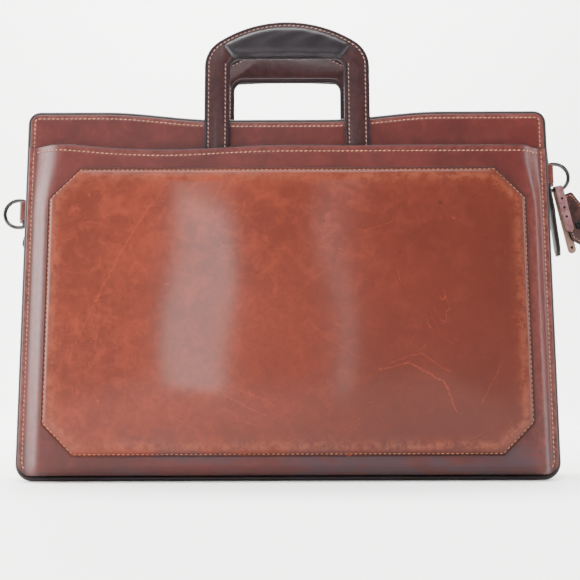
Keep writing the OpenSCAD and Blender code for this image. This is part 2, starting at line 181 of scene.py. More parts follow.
def thicken(bm, thickness):
    """Gives an open sheet its thickness, away from its facing side."""
    bm.normal_update()
    bmesh.ops.solidify(bm, geom=list(bm.faces), thickness=thickness)
    bmesh.ops.recalc_face_normals(bm, faces=bm.faces)


def sweep(bm, path, across, section, closed=False, caps=True):
    """Draws a closed section along a path. across is the direction of a section point's first
    number, and its second one runs along path direction x across. Returns nothing."""
    across = Vector(across).normalized()
    points = [Vector(p) for p in path]
    count = len(points)

    def places(i):
        before = points[i - 1] if (closed or i > 0) else points[i]
        after = points[(i + 1) % count] if (closed or i < count - 1) else points[i]
        here = points[i]
        d0, d1 = (here - before), (after - here)
        d0 = d0.normalized() if d0.length > 1e-9 else d1.normalized()
        d1 = d1.normalized() if d1.length > 1e-9 else d0
        along = (d0 + d1).normalized()
        stretch = 1.0 / max(d1.dot(along), 0.5)
        out = along.cross(across).normalized()
        return [here + across * a + out * n * stretch for a, n in section]

    ring = [bm.verts.new(p) for p in places(0)]
    size = len(ring)
    edges = [bm.edges.new((ring[k], ring[(k + 1) % size])) for k in range(size)]
    first, first_edges = ring, edges
    for i in range(1, count):
        made = bmesh.ops.extrude_edge_only(bm, edges=edges)["geom"]
        fresh = {g for g in made if isinstance(g, bmesh.types.BMVert)}
        following = []
        for v, p in zip(ring, places(i)):
            other = next(e.other_vert(v) for e in v.link_edges if e.other_vert(v) in fresh)
            other.co = p
            following.append(other)
        ring = following
        edges = [bm.edges.get((ring[k], ring[(k + 1) % size])) for k in range(size)]
    if closed:
        bmesh.ops.bridge_loops(bm, edges=edges + first_edges)
    elif caps:
        bm.faces.new(first)
        bm.faces.new(ring)


def round_section(radius, count):
    """A circle as a section for sweep."""
    return [
        (radius * math.cos(2 * math.pi * k / count), radius * math.sin(2 * math.pi * k / count))
        for k in range(count)
    ]


def strap_section(width, thickness, rounding):
    """A flat strap with rounded edges as a section for sweep."""
    w, t, r = width / 2, thickness / 2, min(rounding, thickness / 2.001)
    corners = [(w - r, t - r, 0), (-w + r, t - r, 90), (-w + r, -t + r, 180), (w - r, -t + r, 270)]
    return [p for cx, cz, a in corners for p in arc(cx, cz, r, a, a + 90, 3)]


def along(points, closed=False):
    """Turns a list of points into a function of the length run, and the whole length."""
    points = [Vector(p) for p in points]
    if closed:
        points = points + [points[0]]
    runs = [0.0]
    for a, b in zip(points, points[1:]):
        runs.append(runs[-1] + (b - a).length)

    def at(s):
        s = min(max(s, 0.0), runs[-1])
        i = next((k for k in range(len(runs) - 1) if s <= runs[k + 1]), len(runs) - 2)
        t = (s - runs[i]) / max(runs[i + 1] - runs[i], 1e-9)
        return points[i].lerp(points[i + 1], t)

    return at, runs[-1]


def stitch_run(bm, points, outward, pitch, length, thread, closed=False, slant=8.0):
    """Even stitches along a line: short threads that bow out of the leather."""
    shape, build = bpy.data.meshes.new("stitch"), bmesh.new()
    bmesh.ops.create_uvsphere(
        build, u_segments=6, v_segments=5, radius=1.0, matrix=Matrix.Rotation(math.pi / 2, 4, "Y")
    )
    bmesh.ops.scale(build, vec=(length / 2, thread * 0.42, thread / 2), verts=build.verts)
    build.to_mesh(shape)
    build.free()
    at, whole = along(points, closed)
    count = max(1, round(whole / pitch))
    y = Vector(outward).normalized()
    for i in range(count):
        s = (i + 0.5) * whole / count
        run = at(s + length / 2) - at(s - length / 2)
        x = Matrix.Rotation(math.radians(slant), 3, y) @ (run - y * run.dot(y)).normalized()
        turn = Matrix((x, y, x.cross(y))).transposed().to_4x4()
        place = Matrix.Translation(at(s) + y * 0.1 * MM) @ turn
        shape.transform(place)
        bm.from_mesh(shape)
        shape.transform(place.inverted())
    bpy.data.meshes.remove(shape)


# ---------------------------------------------------------------- surfaces of the walls


def mouth_sag(x):
    """How far the pocket's mouth lies below its straight line, pulled down by its own weight."""
    return 3.4 * MM * hump((x + 102 * MM) / (55 * MM)) - 2.2 * MM * smooth((-x - 140 * MM) / (60 * MM)) - 0.9 * MM


def top_sag(x):
    """How far the top edge of a wall has sunk between its ends."""
    return 6.8 * MM * (1.0 - smooth((abs(x + 12 * MM) - 45 * MM) / (95 * MM))) - 1.8 * MM


def swell(x, z):
    """Slow swells of the worn leather on the pocket."""
    return (
        0.30 * MM * math.sin((x + 0.035) * 2 * math.pi / 0.165 + 0.6 * (z - 0.14) / 0.14)
        + 0.18 * MM * math.sin((x - 0.05) * 2 * math.pi / 0.098 - 0.7 * (z - 0.1) / 0.12)
        + 0.18 * MM * math.sin(z * 2 * math.pi / 0.14 + 2.2 * x / 0.1)
    )


SEAM_INSET = 3.6 * MM
EDGE_STEPS = [
    s * MM
    for s in (0, 0.25, 0.7, 1.4, 2.2, 2.9, 3.3, 3.6, 3.9, 4.4, 5.2, 6, 7, 8, 9, 10.5, 12, 13.5, 15.5, 18, 21)
]
GROOVE = 0.55 * MM


def pocket_u(x, z, plain=False):
    """Distance of the pocket's face from the centre plane."""
    d = HALF_W - abs(x)
    to_mouth = smooth((z - 0.215) / 0.05)
    rise = (15.0 if x < 0 else 9.0) * MM + 9.0 * MM * to_mouth
    lifted = smooth((d - SEAM_INSET - 1.0 * MM) / rise)
    turned = 1.0 - min(max((z - WALL_LOW) / (10.0 * MM), 0.0), 1.0)
    lifted *= math.sqrt(max(1.0 - turned * turned, 0.0))
    u = U_FLANGE + (U_POCKET - U_FLANGE) * lifted
    u += swell(x, z) * lifted * smooth((min(d, z) - 10 * MM) / 0.03)
    u -= 0.5 * MM * (1.0 - min(d / (0.8 * MM), 1.0)) ** 2
    if plain:
        return u
    u -= 0.35 * MM * hump((d - SEAM_INSET) / GROOVE)
    below = MOUTH_Z - mouth_sag(x) - z
    u -= 0.35 * MM * hump((below - 5.0 * MM) / GROOVE)
    u -= 0.6 * MM * (1.0 - min(max(below, 0.0) / (1.0 * MM), 1.0)) ** 2
    return u


def wall_u(x, z):
    """Distance of the bare wall's face from the centre plane."""
    d = rim_distance(x, z, HALF_W, WALL_LOW, WALL_TOP - top_sag(x), LOW_CORNER, TOP_CORNER)
    u = U_PANEL - 0.6 * MM * (1.0 - min(d / (1.0 * MM), 1.0)) ** 2
    u -= 0.35 * MM * hump((d - SEAM_INSET) / GROOVE)
    u += 0.25 * MM * math.sin(x * 2 * math.pi / 0.13) * smooth((d - 8 * MM) / 0.02)
    return u


def octagon(inset):
    """The eight corners of the centre panel, drawn in by an inset."""
    w, z0, z1 = CENTRE_HIGH.x - inset, CENTRE_LOW.z + inset, CENTRE_HIGH.z - inset
    c = 25.0 * MM - inset * math.tan(math.radians(22.5))
    return [
        (-w + c, z0), (w - c, z0), (w, z0 + c), (w, z1 - c),
        (w - c, z1), (-w + c, z1), (-w, z1 - c), (-w, z0 + c),
    ]


CENTRE_SEAM = 2.2 * MM


def octagon_distance(x, z):
    """Distance inwards from the edge of the centre panel."""
    w, z0, z1 = CENTRE_HIGH.x, CENTRE_LOW.z, CENTRE_HIGH.z
    mid, half_h, c = (z0 + z1) / 2, (z1 - z0) / 2, 25.0 * MM
    dx, dz = w - abs(x), half_h - abs(z - mid)
    return min(dx, dz, (dx + dz - c) / math.sqrt(2.0))


def centre_u(x, z):
    """Distance of the centre panel's face from the centre plane."""
    d = octagon_distance(x, z)
    u = pocket_u(x, z, plain=True) + 1.5 * MM
    u -= 0.7 * MM * (1.0 - min(d / (0.9 * MM), 1.0)) ** 2
    u -= 0.65 * MM * hump((d - CENTRE_SEAM) / (0.75 * MM))
    puff = min(max((d - CENTRE_SEAM) / (9.0 * MM), 0.0), 1.0)
    u += 1.9 * MM * math.sqrt(1.0 - (1.0 - puff) ** 2) if puff > 0 else 0.0
    u += 1.2 * MM * smooth((d - 8 * MM) / 0.07)
    return u


# ---------------------------------------------------------------- shader node groups


def new_group(name, inputs, outputs):
    """An empty shader node group. inputs are (name, kind, default), outputs are (name, kind)."""
    tree = bpy.data.node_groups.new(name, "ShaderNodeTree")
    kinds = {"float": "NodeSocketFloat", "color": "NodeSocketColor", "vector": "NodeSocketVector"}
    for label, kind, default in inputs:
        socket = tree.interface.new_socket(name=label, in_out="INPUT", socket_type=kinds[kind])
        if default is not None:
            socket.default_value = default
    for label, kind in outputs:
        tree.interface.new_socket(name=label, in_out="OUTPUT", socket_type=kinds[kind])
    return tree, tree.nodes.new("NodeGroupInput").outputs, tree.nodes.new("NodeGroupOutput").inputs


def put(tree, socket, value):
    """Feeds a socket from another socket or with a constant."""
    if isinstance(value, bpy.types.NodeSocket):
        tree.links.new(value, socket)
    else:
        socket.default_value = value


def math_node(tree, operation, a, b=0.0, clamp=False):
    """A Math node's result."""
    n = tree.nodes.new("ShaderNodeMath")
    n.operation, n.use_clamp = operation, clamp
    put(tree, n.inputs[0], a)
    put(tree, n.inputs[1], b)
    return n.outputs[0]


def times(tree, a, b, clamp=False):
    """A product."""
    return math_node(tree, "MULTIPLY", a, b, clamp)


def plus(tree, a, b):
    """A sum."""
    return math_node(tree, "ADD", a, b)


def minus(tree, a, b):
    """A difference."""
    return math_node(tree, "SUBTRACT", a, b)


def vector_node(tree, operation, a, b=(0, 0, 0), output=0):
    """A Vector Math node's result."""
    n = tree.nodes.new("ShaderNodeVectorMath")
    n.operation = operation
    put(tree, n.inputs[0], a)
    if len(n.inputs) > 1:
        put(tree, n.inputs[1], b)
    return n.outputs[output]


def ramp(tree, value, low, high, out_low=0.0, out_high=1.0):
    """Maps a range of values smoothly to another."""
    n = tree.nodes.new("ShaderNodeMapRange")
    n.interpolation_type = "SMOOTHSTEP"
    for k, v in enumerate((value, low, high, out_low, out_high)):
        put(tree, n.inputs[k], v)
    return n.outputs[0]


def mix_color(tree, amount, a, b):
    """A colour between a and b."""
    n = tree.nodes.new("ShaderNodeMix")
    n.data_type = "RGBA"
    put(tree, n.inputs[0], amount)
    put(tree, n.inputs[6], a)
    put(tree, n.inputs[7], b)
    return n.outputs[2]


def noise_node(tree, vector, scale, detail=3.0, rough=0.5, distortion=0.0):
    """A Noise Texture's value."""
    n = tree.nodes.new("ShaderNodeTexNoise")
    put(tree, n.inputs["Vector"], vector)
    put(tree, n.inputs["Scale"], scale)
    n.inputs["Detail"].default_value = detail
    n.inputs["Roughness"].default_value = rough
    n.inputs["Distortion"].default_value = distortion
    return n.outputs[0]


def stretched(tree, vector, factor, turn=(0.0, 0.0, 0.0)):
    """A vector turned and then scaled per axis."""
    n = tree.nodes.new("ShaderNodeVectorRotate")
    n.rotation_type = "EULER_XYZ"
    put(tree, n.inputs["Vector"], vector)
    n.inputs["Rotation"].default_value = turn
    return vector_node(tree, "MULTIPLY", n.outputs[0], factor)


def grain_group():
    """Pebbled leather grain with fine creases."""
    name = "Leather Grain"
    if name in bpy.data.node_groups:
        return bpy.data.node_groups[name]
    tree, given, out = new_group(
        name, [("Vector", "vector", None), ("Scale", "float", 900.0), ("Creases", "float", 0.4)],
        [("Height", "float")],
    )
    warp = noise_node(tree, given["Vector"], 160.0, 2.0)
    shifted = vector_node(tree, "ADD", given["Vector"], (0.004, 0.003, 0.005))
    cells = tree.nodes.new("ShaderNodeTexVoronoi")
    cells.feature = "SMOOTH_F1"
    put(tree, cells.inputs["Vector"], shifted)
    put(tree, cells.inputs["Scale"], given["Scale"])
    cells.inputs["Smoothness"].default_value = 0.6
    pebble = minus(tree, 1.0, cells.outputs["Distance"])
    fine = noise_node(tree, given["Vector"], 2600.0, 2.0)
    streaks = noise_node(tree, stretched(tree, given["Vector"], (1.0, 1.0, 0.35), (0, 0.4, 0)), 240.0, 5.0, 0.62, 0.6)
    crease = ramp(tree, math_node(tree, "ABSOLUTE", minus(tree, streaks, 0.5)), 0.0, 0.035, 1.0, 0.0)
    height = plus(tree, times(tree, pebble, 0.6), times(tree, fine, 0.25))
    height = plus(tree, height, times(tree, warp, 0.5))
    sunk = times(tree, crease, given["Creases"])
    put(tree, out["Height"], minus(tree, height, sunk))
    return tree


def patina_group():
    """Uneven colour of worn, waxed leather."""
    name = "Leather Patina"
    if name in bpy.data.node_groups:
        return bpy.data.node_groups[name]
    tree, given, out = new_group(
        name,
        [("Vector", "vector", None), ("Base", "color", None), ("Dark", "color", None),
         ("Light", "color", None), ("Blotches", "float", 14.0), ("Amount", "float", 0.5)],
        [("Color", "color"), ("Wear", "float")],
    )
    slow = ramp(tree, noise_node(tree, given["Vector"], given["Blotches"], 4.0, 0.6, 0.4), 0.36, 0.66)
    cloud = ramp(tree, noise_node(tree, given["Vector"], 70.0, 6.0, 0.68, 0.8), 0.42, 0.72)
    speck = ramp(tree, noise_node(tree, given["Vector"], 260.0, 5.0, 0.75), 0.45, 0.75)
    color = mix_color(tree, times(tree, slow, given["Amount"]), given["Base"], given["Dark"])
    lift = times(tree, cloud, times(tree, given["Amount"], 0.7))
    color = mix_color(tree, lift, color, given["Light"])
    color = mix_color(tree, times(tree, speck, 0.4), color, given["Dark"])
    put(tree, out["Color"], color)
    put(tree, out["Wear"], cloud)
    return tree


def edge_wear_and_shade_group():
    """Rubbed colour along edges and folds, broken up by a fine pattern. Below zero, Edge paints shade and burnish
    instead, in a near-black tint.
    """
    name = "Edge Wear"
    if name in bpy.data.node_groups:
        return bpy.data.node_groups[name]
    tree, given, out = new_group(
        name,
        [("Vector", "vector", None), ("Color", "color", None), ("Worn", "color", None),
         ("Edge", "float", 0.0), ("Amount", "float", 0.6)],
        [("Color", "color"), ("Mask", "float"), ("Burnish", "float")],
    )
    broken = ramp(tree, noise_node(tree, given["Vector"], 180.0, 5.0, 0.7), 0.35, 0.65)
    mask = times(tree, times(tree, given["Edge"], broken), given["Amount"], clamp=True)
    color = mix_color(tree, mask, given["Color"], given["Worn"])
    # Below zero, Edge darkens towards near black: painted shade in grooves and gaps, together with burnish.
    dark = times(tree, given["Edge"], -0.85, clamp=True)
    put(tree, out["Color"], mix_color(tree, dark, color, (0.006, 0.003, 0.003, 1.0)))
    put(tree, out["Mask"], mask)
    put(tree, out["Burnish"], dark)
    return tree


def scratch_group():
    """A single drawn scratch between two places, ragged along its length."""
    name = "Scratch Mark"
    if name in bpy.data.node_groups:
        return bpy.data.node_groups[name]
    tree, given, out = new_group(
        name,
        [("Vector", "vector", None), ("Start", "vector", None), ("End", "vector", None),
         ("Width", "float", 0.0006), ("Strength", "float", 1.0)],
        [("Mask", "float")],
    )
    flat = vector_node(tree, "MULTIPLY", given["Vector"], (1, 0, 1))
    n = tree.nodes.new("ShaderNodeTexNoise")
    put(tree, n.inputs["Vector"], flat)
    n.inputs["Scale"].default_value = 60.0
    jitter = vector_node(tree, "SUBTRACT", n.outputs["Color"], (0.5, 0.5, 0.5))
    jitter = vector_node(tree, "MULTIPLY", jitter, (0.006, 0.0, 0.006))
    place = vector_node(tree, "ADD", flat, jitter)
    pa = vector_node(tree, "SUBTRACT", place, given["Start"])
    ba = vector_node(tree, "SUBTRACT", given["End"], given["Start"])
    share = math_node(
        tree, "DIVIDE", vector_node(tree, "DOT_PRODUCT", pa, ba, 1),
        vector_node(tree, "DOT_PRODUCT", ba, ba, 1), clamp=True,
    )
    scaled = tree.nodes.new("ShaderNodeVectorMath")
    scaled.operation = "SCALE"
    put(tree, scaled.inputs[0], ba)
    put(tree, scaled.inputs["Scale"], share)
    off = vector_node(tree, "LENGTH", vector_node(tree, "SUBTRACT", pa, scaled.outputs[0]), (0, 0, 0), 1)
    line = ramp(tree, math_node(tree, "DIVIDE", off, given["Width"]), 0.3, 1.2, 1.0, 0.0)
    ragged = ramp(tree, noise_node(tree, flat, 420.0, 4.0, 0.7), 0.38, 0.6)
    put(tree, out["Mask"], times(tree, times(tree, line, ragged), given["Strength"]))
    return tree


def scuffs_group():
    """Many faint crossing scratches."""
    name = "Fine Scuffs"
    if name in bpy.data.node_groups:
        return bpy.data.node_groups[name]
    tree, given, out = new_group(
        name, [("Vector", "vector", None), ("Amount", "float", 0.5)], [("Mask", "float")]
    )
    n = tree.nodes.new("ShaderNodeTexNoise")
    put(tree, n.inputs["Vector"], given["Vector"])
    n.inputs["Scale"].default_value = 14.0
    centred = vector_node(tree, "SUBTRACT", n.outputs["Color"], (0.5, 0.5, 0.5))
    bend = vector_node(tree, "MULTIPLY", centred, (0.05, 0.05, 0.05))
    bent = vector_node(tree, "ADD", given["Vector"], bend)
    total = None
    for turn, scale, thin, rare in (
        (0.45, 60.0, 0.0045, 0.56), (-0.9, 80.0, 0.004, 0.58), (1.35, 70.0, 0.004, 0.57), (2.2, 95.0, 0.005, 0.6),
    ):
        v = stretched(tree, bent, (1.0, 1.0, 0.05), (0.0, turn, 0.0))
        streak = noise_node(tree, v, scale, 2.0, 0.5)
        line = ramp(tree, math_node(tree, "ABSOLUTE", minus(tree, streak, 0.5)), 0.0, thin, 1.0, 0.0)
        where = ramp(tree, noise_node(tree, given["Vector"], 17.0 + scale / 6, 3.0, 0.6), rare, rare + 0.08)
        part = times(tree, line, where)
        total = part if total is None else math_node(tree, "MAXIMUM", total, part)
    put(tree, out["Mask"], times(tree, total, given["Amount"]))
    return tree


def weave_group():
    """Plain weave of a tape or lining cloth."""
    name = "Cloth Weave"
    if name in bpy.data.node_groups:
        return bpy.data.node_groups[name]
    tree, given, out = new_group(
        name, [("Vector", "vector", None), ("Threads", "float", 1800.0)],
        [("Height", "float"), ("Shade", "float")],
    )
    parts = tree.nodes.new("ShaderNodeSeparateXYZ")
    put(tree, parts.inputs[0], given["Vector"])
    flat = plus(tree, parts.outputs["Y"], parts.outputs["Z"])
    warp = math_node(tree, "SINE", times(tree, parts.outputs["X"], given["Threads"]))
    weft = math_node(tree, "SINE", times(tree, flat, given["Threads"]))
    over = times(tree, warp, weft)
    put(tree, out["Height"], plus(tree, times(tree, over, 0.5), 0.5))
    put(tree, out["Shade"], ramp(tree, noise_node(tree, given["Vector"], 300.0, 4.0), 0.3, 0.7))
    return tree


def use_group(tree, group, **values):
    """Places a node group and feeds its inputs by name, with _ for a space."""
    n = tree.nodes.new("ShaderNodeGroup")
    n.node_tree = group
    for label, value in values.items():
        put(tree, n.inputs[label.replace("_", " ")], value)
    return n.outputs


# ---------------------------------------------------------------- materials


def blank_material(name):
    """A material with its tree, its shader and its Object coordinates."""
    material = bpy.data.materials.new(name)
    material.use_nodes = True
    tree = material.node_tree
    shader = tree.nodes["Principled BSDF"]
    return material, tree, shader, tree.nodes.new("ShaderNodeTexCoord").outputs["Object"]


def bump(tree, shader, height, distance, strength=1.0):
    """Feeds the shader's Normal from a height."""
    n = tree.nodes.new("ShaderNodeBump")
    n.inputs["Strength"].default_value = strength
    n.inputs["Distance"].default_value = distance
    put(tree, n.inputs["Height"], height)
    put(tree, shader.inputs["Normal"], n.outputs[0])


def edge_attribute(tree):
    """The edge value that a piece carries on its points: above zero it rubs the leather lighter, below zero it paints
    shade and burnish.
    """
    n = tree.nodes.new("ShaderNodeAttribute")
    n.attribute_name = "edge"
    return n.outputs["Fac"]


def rgba(color):
    """A property's colour with full alpha."""
    return (color[0], color[1], color[2], 1.0)


SCRATCHES = [
    ((-110, 220), (-152, 141), 0.9, 0.9), ((-152, 141), (-173, 93), 0.8, 0.7),
    ((-95, 238), (-121, 205), 0.7, 0.4), ((72, 86), (95, 92), 0.8, 0.8),
    ((95, 92), (120, 78), 0.9, 0.9), ((120, 78), (131, 55), 0.9, 0.9),
    ((80, 92), (104, 99), 0.7, 0.6), ((104, 99), (128, 84), 0.7, 0.6),
    ((-49, 67), (-17, 52), 0.9, 0.6), ((-44, 75), (-12, 60), 0.8, 0.5),
    ((-38, 62), (-6, 47), 0.7, 0.5), ((-55, 58), (-25, 44), 0.7, 0.4),
    ((-90, 52), (-60, 34), 0.7, 0.5), ((60, 196), (84, 205), 0.6, 0.5),
    ((150, 60), (168, 92), 0.7, 0.4), ((20, 120), (52, 98), 0.6, 0.4),
]
DARK_SPOTS = [((122, 220), 1.5), ((157, 192), 1.5), ((89, 180), 1.2), ((-52, 188), 0.9), ((30, 205), 0.9)]


def leather(name, base, dark, light, worn, roughness, coat, coat_roughness, blotches, amount, scuffs, scratches_and_shade=False):
    """Waxed leather with grain, patina, scuffs and rubbed edges, with painted shade where the edge value is below
    zero; the centre kind also gets scratches, dark spots and painted shade towards its right and bottom.
    """
    if name in bpy.data.materials:
        return bpy.data.materials[name]
    material, tree, shader, place = blank_material(name)
    grain = use_group(tree, grain_group(), Vector=place, Scale=950.0, Creases=0.35)
    patina = use_group(
        tree, patina_group(), Vector=place, Base=rgba(base), Dark=rgba(dark), Light=rgba(light),
        Blotches=blotches, Amount=amount,
    )
    fine = use_group(tree, scuffs_group(), Vector=place, Amount=scuffs)
    tone = patina["Color"]
    parts = tree.nodes.new("ShaderNodeSeparateXYZ")
    put(tree, parts.inputs[0], place)
    stain = ramp(tree, noise_node(tree, stretched(tree, place, (0.5, 1.0, 1.0)), 34.0, 5.0, 0.65), 0.46, 0.62)
    stain = times(tree, stain, ramp(tree, parts.outputs["Z"], 0.055, 0.012, 0.0, 0.6))
    tone = mix_color(tree, stain, tone, (0.018, 0.012, 0.018, 1.0))
    if scratches_and_shade:
        # Painted shade: the panel darkens towards its right and its bottom, where less light falls.
        slant = minus(tree, parts.outputs["X"], times(tree, parts.outputs["Z"], 0.5))
        tone = mix_color(tree, ramp(tree, slant, -0.2, 0.12, 0.0, 0.8), tone, rgba(dark))
    color = mix_color(tree, times(tree, fine["Mask"], 0.55), tone, rgba(light))
    # Rubbed wear lightens along edges; where the edge value is below zero, painted shade and burnish darken instead.
    edge_rub_and_shade = use_group(
        tree, edge_wear_and_shade_group(), Vector=place, Color=color, Worn=rgba(worn),
        Edge=edge_attribute(tree), Amount=0.7,
    )
    color, mask = edge_rub_and_shade["Color"], fine["Mask"]
    if scratches_and_shade:
        for (x0, z0), (x1, z1), width, strength in SCRATCHES:
            mark = use_group(
                tree, scratch_group(), Vector=place, Start=(x0 * MM, 0, z0 * MM),
                End=(x1 * MM, 0, z1 * MM), Width=width * MM, Strength=strength,
            )
            mask = math_node(tree, "MAXIMUM", mask, mark["Mask"])
        color = mix_color(tree, times(tree, mask, 0.5), color, rgba(light))
        for (x, z), size in DARK_SPOTS:
            spot = use_group(
                tree, scratch_group(), Vector=place, Start=(x * MM, 0, z * MM),
                End=((x + 0.6) * MM, 0, z * MM), Width=size * MM, Strength=0.8,
            )
            color = mix_color(tree, spot["Mask"], color, rgba([c * 0.2 for c in dark]))
    put(tree, shader.inputs["Base Color"], color)
    rough = plus(tree, roughness, times(tree, patina["Wear"], 0.10))
    rough = plus(tree, rough, times(tree, mask, 0.2))
    rough = plus(tree, rough, times(tree, edge_rub_and_shade["Mask"], 0.12))
    # Burnished and painted-shade edges are rougher and lose their coat.
    rough = plus(tree, rough, times(tree, edge_rub_and_shade["Burnish"], 0.4))
    clear_of_burnish_and_shade = minus(tree, 1.0, edge_rub_and_shade["Burnish"])
    put(tree, shader.inputs["Coat Weight"], times(tree, clear_of_burnish_and_shade, coat))
    put(tree, shader.inputs["Roughness"], rough)
    shader.inputs["Coat Roughness"].default_value = coat_roughness
    shader.inputs["Specular IOR Level"].default_value = 0.17 if coat > 0.05 else 0.07
    height = minus(tree, grain["Height"], times(tree, mask, 0.9))
    bump(tree, shader, height, 0.00012, 0.35)
    return material


def painted_edge():
    """Glossy black edge paint, chipped a little."""
    name = "edge paint"
    if name in bpy.data.materials:
        return bpy.data.materials[name]
    material, tree, shader, place = blank_material(name)
    edge_rub_and_shade = use_group(
        tree, edge_wear_and_shade_group(), Vector=place, Color=(0.007, 0.006, 0.008, 1),
        Worn=(0.06, 0.025, 0.02, 1), Edge=0.25, Amount=0.5,
    )
    put(tree, shader.inputs["Base Color"], edge_rub_and_shade["Color"])
    put(tree, shader.inputs["Roughness"], ramp(tree, noise_node(tree, place, 240.0), 0.3, 0.7, 0.42, 0.6))
    shader.inputs["Specular IOR Level"].default_value = 0.05
    bump(tree, shader, noise_node(tree, place, 700.0, 3.0), 0.0001, 0.4)
    return material


def thread(name, color):
    """Twisted sewing thread."""
    if name in bpy.data.materials:
        return bpy.data.materials[name]
    material, tree, shader, place = blank_material(name)
    dirt = ramp(tree, noise_node(tree, place, 60.0, 4.0, 0.7), 0.35, 0.7)
    dull = [c * 0.45 for c in color]
    put(tree, shader.inputs["Base Color"], mix_color(tree, dirt, rgba(color), rgba(dull)))
    put(tree, shader.inputs["Roughness"], ramp(tree, noise_node(tree, place, 500.0), 0.3, 0.7, 0.55, 0.8))
    bump(tree, shader, noise_node(tree, place, 3200.0, 2.0), 0.0002, 0.6)
    return material


def cloth(name, base, dark, threads, roughness):
    """Woven cloth."""
    if name in bpy.data.materials:
        return bpy.data.materials[name]
    material, tree, shader, place = blank_material(name)
    weave = use_group(tree, weave_group(), Vector=place, Threads=threads)
    shade = times(tree, weave["Shade"], 0.5)
    sunk = minus(tree, 1.0, weave["Height"])
    shade = plus(tree, shade, times(tree, sunk, 0.4))
    put(tree, shader.inputs["Base Color"], mix_color(tree, shade, rgba(base), rgba(dark)))
    put(tree, shader.inputs["Roughness"], ramp(tree, weave["Shade"], 0.0, 1.0, roughness, roughness + 0.1))
    shader.inputs["Sheen Weight"].default_value = 0.05
    shader.inputs["Specular IOR Level"].default_value = 0.15
    bump(tree, shader, weave["Height"], 0.0002, 0.6)
    return material


def metal(name, base, tarnish, low_rough, high_rough):
    """Plated metal, dulled and finely scratched by use."""
    if name in bpy.data.materials:
        return bpy.data.materials[name]
    material, tree, shader, place = blank_material(name)
    fine = use_group(tree, scuffs_group(), Vector=place, Amount=1.0)
    blot = ramp(tree, noise_node(tree, place, 160.0, 5.0, 0.65), 0.4, 0.7)
    put(tree, shader.inputs["Base Color"], mix_color(tree, blot, rgba(base), rgba(tarnish)))
    rough = ramp(tree, noise_node(tree, place, 300.0, 4.0), 0.3, 0.7, low_rough, high_rough)
    put(tree, shader.inputs["Roughness"], plus(tree, rough, times(tree, fine["Mask"], 0.2)))
    shader.inputs["Metallic"].default_value = 1.0
    bump(tree, shader, noise_node(tree, place, 1400.0, 3.0), 0.00005, 0.4)
    return material


def board_fibre():
    """Pressed fibre board."""
    name = "fibre board"
    if name in bpy.data.materials:
        return bpy.data.materials[name]
    material, tree, shader, place = blank_material(name)
    fibre = noise_node(tree, stretched(tree, place, (1.0, 1.0, 6.0)), 300.0, 5.0, 0.7)
    put(tree, shader.inputs["Base Color"], mix_color(tree, fibre, (0.42, 0.34, 0.24, 1), (0.26, 0.20, 0.14, 1)))
    put(tree, shader.inputs["Roughness"], ramp(tree, fibre, 0.2, 0.8, 0.75, 0.9))
    bump(tree, shader, fibre, 0.0003, 0.5)
    return material


# Per kind: name, share of the dark and of the light tone, worn colour, roughness, coat, coat roughness,
# blotch size, unevenness, scuffs, and whether the panel's scratches, dark spots and painted shade are on it.
LEATHERS = {
    "centre": ("centre leather", 0.40, 2.0, (0.20, 0.05, 0.02), 0.46, 0.13, 0.11, 11.0, 0.5, 0.6, True),
    "border": ("border leather", 0.40, 2.0, (0.14, 0.04, 0.03), 0.46, 0.17, 0.36, 16.0, 0.5, 0.6, False),
    "handle": ("handle leather", 0.5, 1.7, (0.05, 0.013, 0.012), 0.46, 0.08, 0.2, 30.0, 0.5, 0.5, False),
    "grip": ("grip leather", 0.5, 1.9, (0.018, 0.012, 0.014), 0.44, 0.08, 0.24, 40.0, 0.5, 0.5, False),
    "piping": ("piping leather", 0.5, 2.2, (0.02, 0.009, 0.008), 0.5, 0.12, 0.3, 40.0, 0.4, 0.3, False),
    "tag": ("tag leather", 0.5, 1.6, (0.12, 0.05, 0.04), 0.38, 0.3, 0.2, 40.0, 0.6, 0.7, False),
    "strap": ("strap leather", 0.5, 1.5, (0.30, 0.18, 0.16), 0.55, 0.05, 0.3, 60.0, 0.7, 0.6, False),
    "suede": ("raw leather", 0.6, 1.4, (0.25, 0.17, 0.13), 0.75, 0.0, 0.3, 60.0, 0.7, 0.3, False),
}
RAW_LEATHER = (0.17, 0.095, 0.075)


def finish(kind):
    """The material of a kind of surface."""
    c = bpy.context.scene.briefcase_colours
    if kind in LEATHERS:
        name, dark, light, *rest = LEATHERS[kind]
        base = RAW_LEATHER if kind == "suede" else getattr(c, kind)
        return leather(name, base, [v * dark for v in base], [min(v * light, 1.0) for v in base], *rest)
    if kind == "edge":
        return painted_edge()
    if kind == "thread":
        return thread("thread", c.thread)
    if kind == "dark thread":
        return thread("dark thread", (0.20, 0.11, 0.085))
    if kind == "lining":
        return cloth("lining cloth", c.lining, [v * 0.5 for v in c.lining], 4200.0, 0.7)
    if kind == "tape":
        return cloth("zip tape", (0.012, 0.012, 0.014), (0.004, 0.004, 0.005), 5200.0, 0.6)
    if kind == "brass":
        return metal("zip metal", (0.42, 0.34, 0.20), (0.12, 0.09, 0.05), 0.22, 0.42)
    if kind == "nickel":
        return metal("ring metal", (0.055, 0.052, 0.05), (0.02, 0.018, 0.016), 0.2, 0.4)
    return board_fibre()


# ---------------------------------------------------------------- pieces


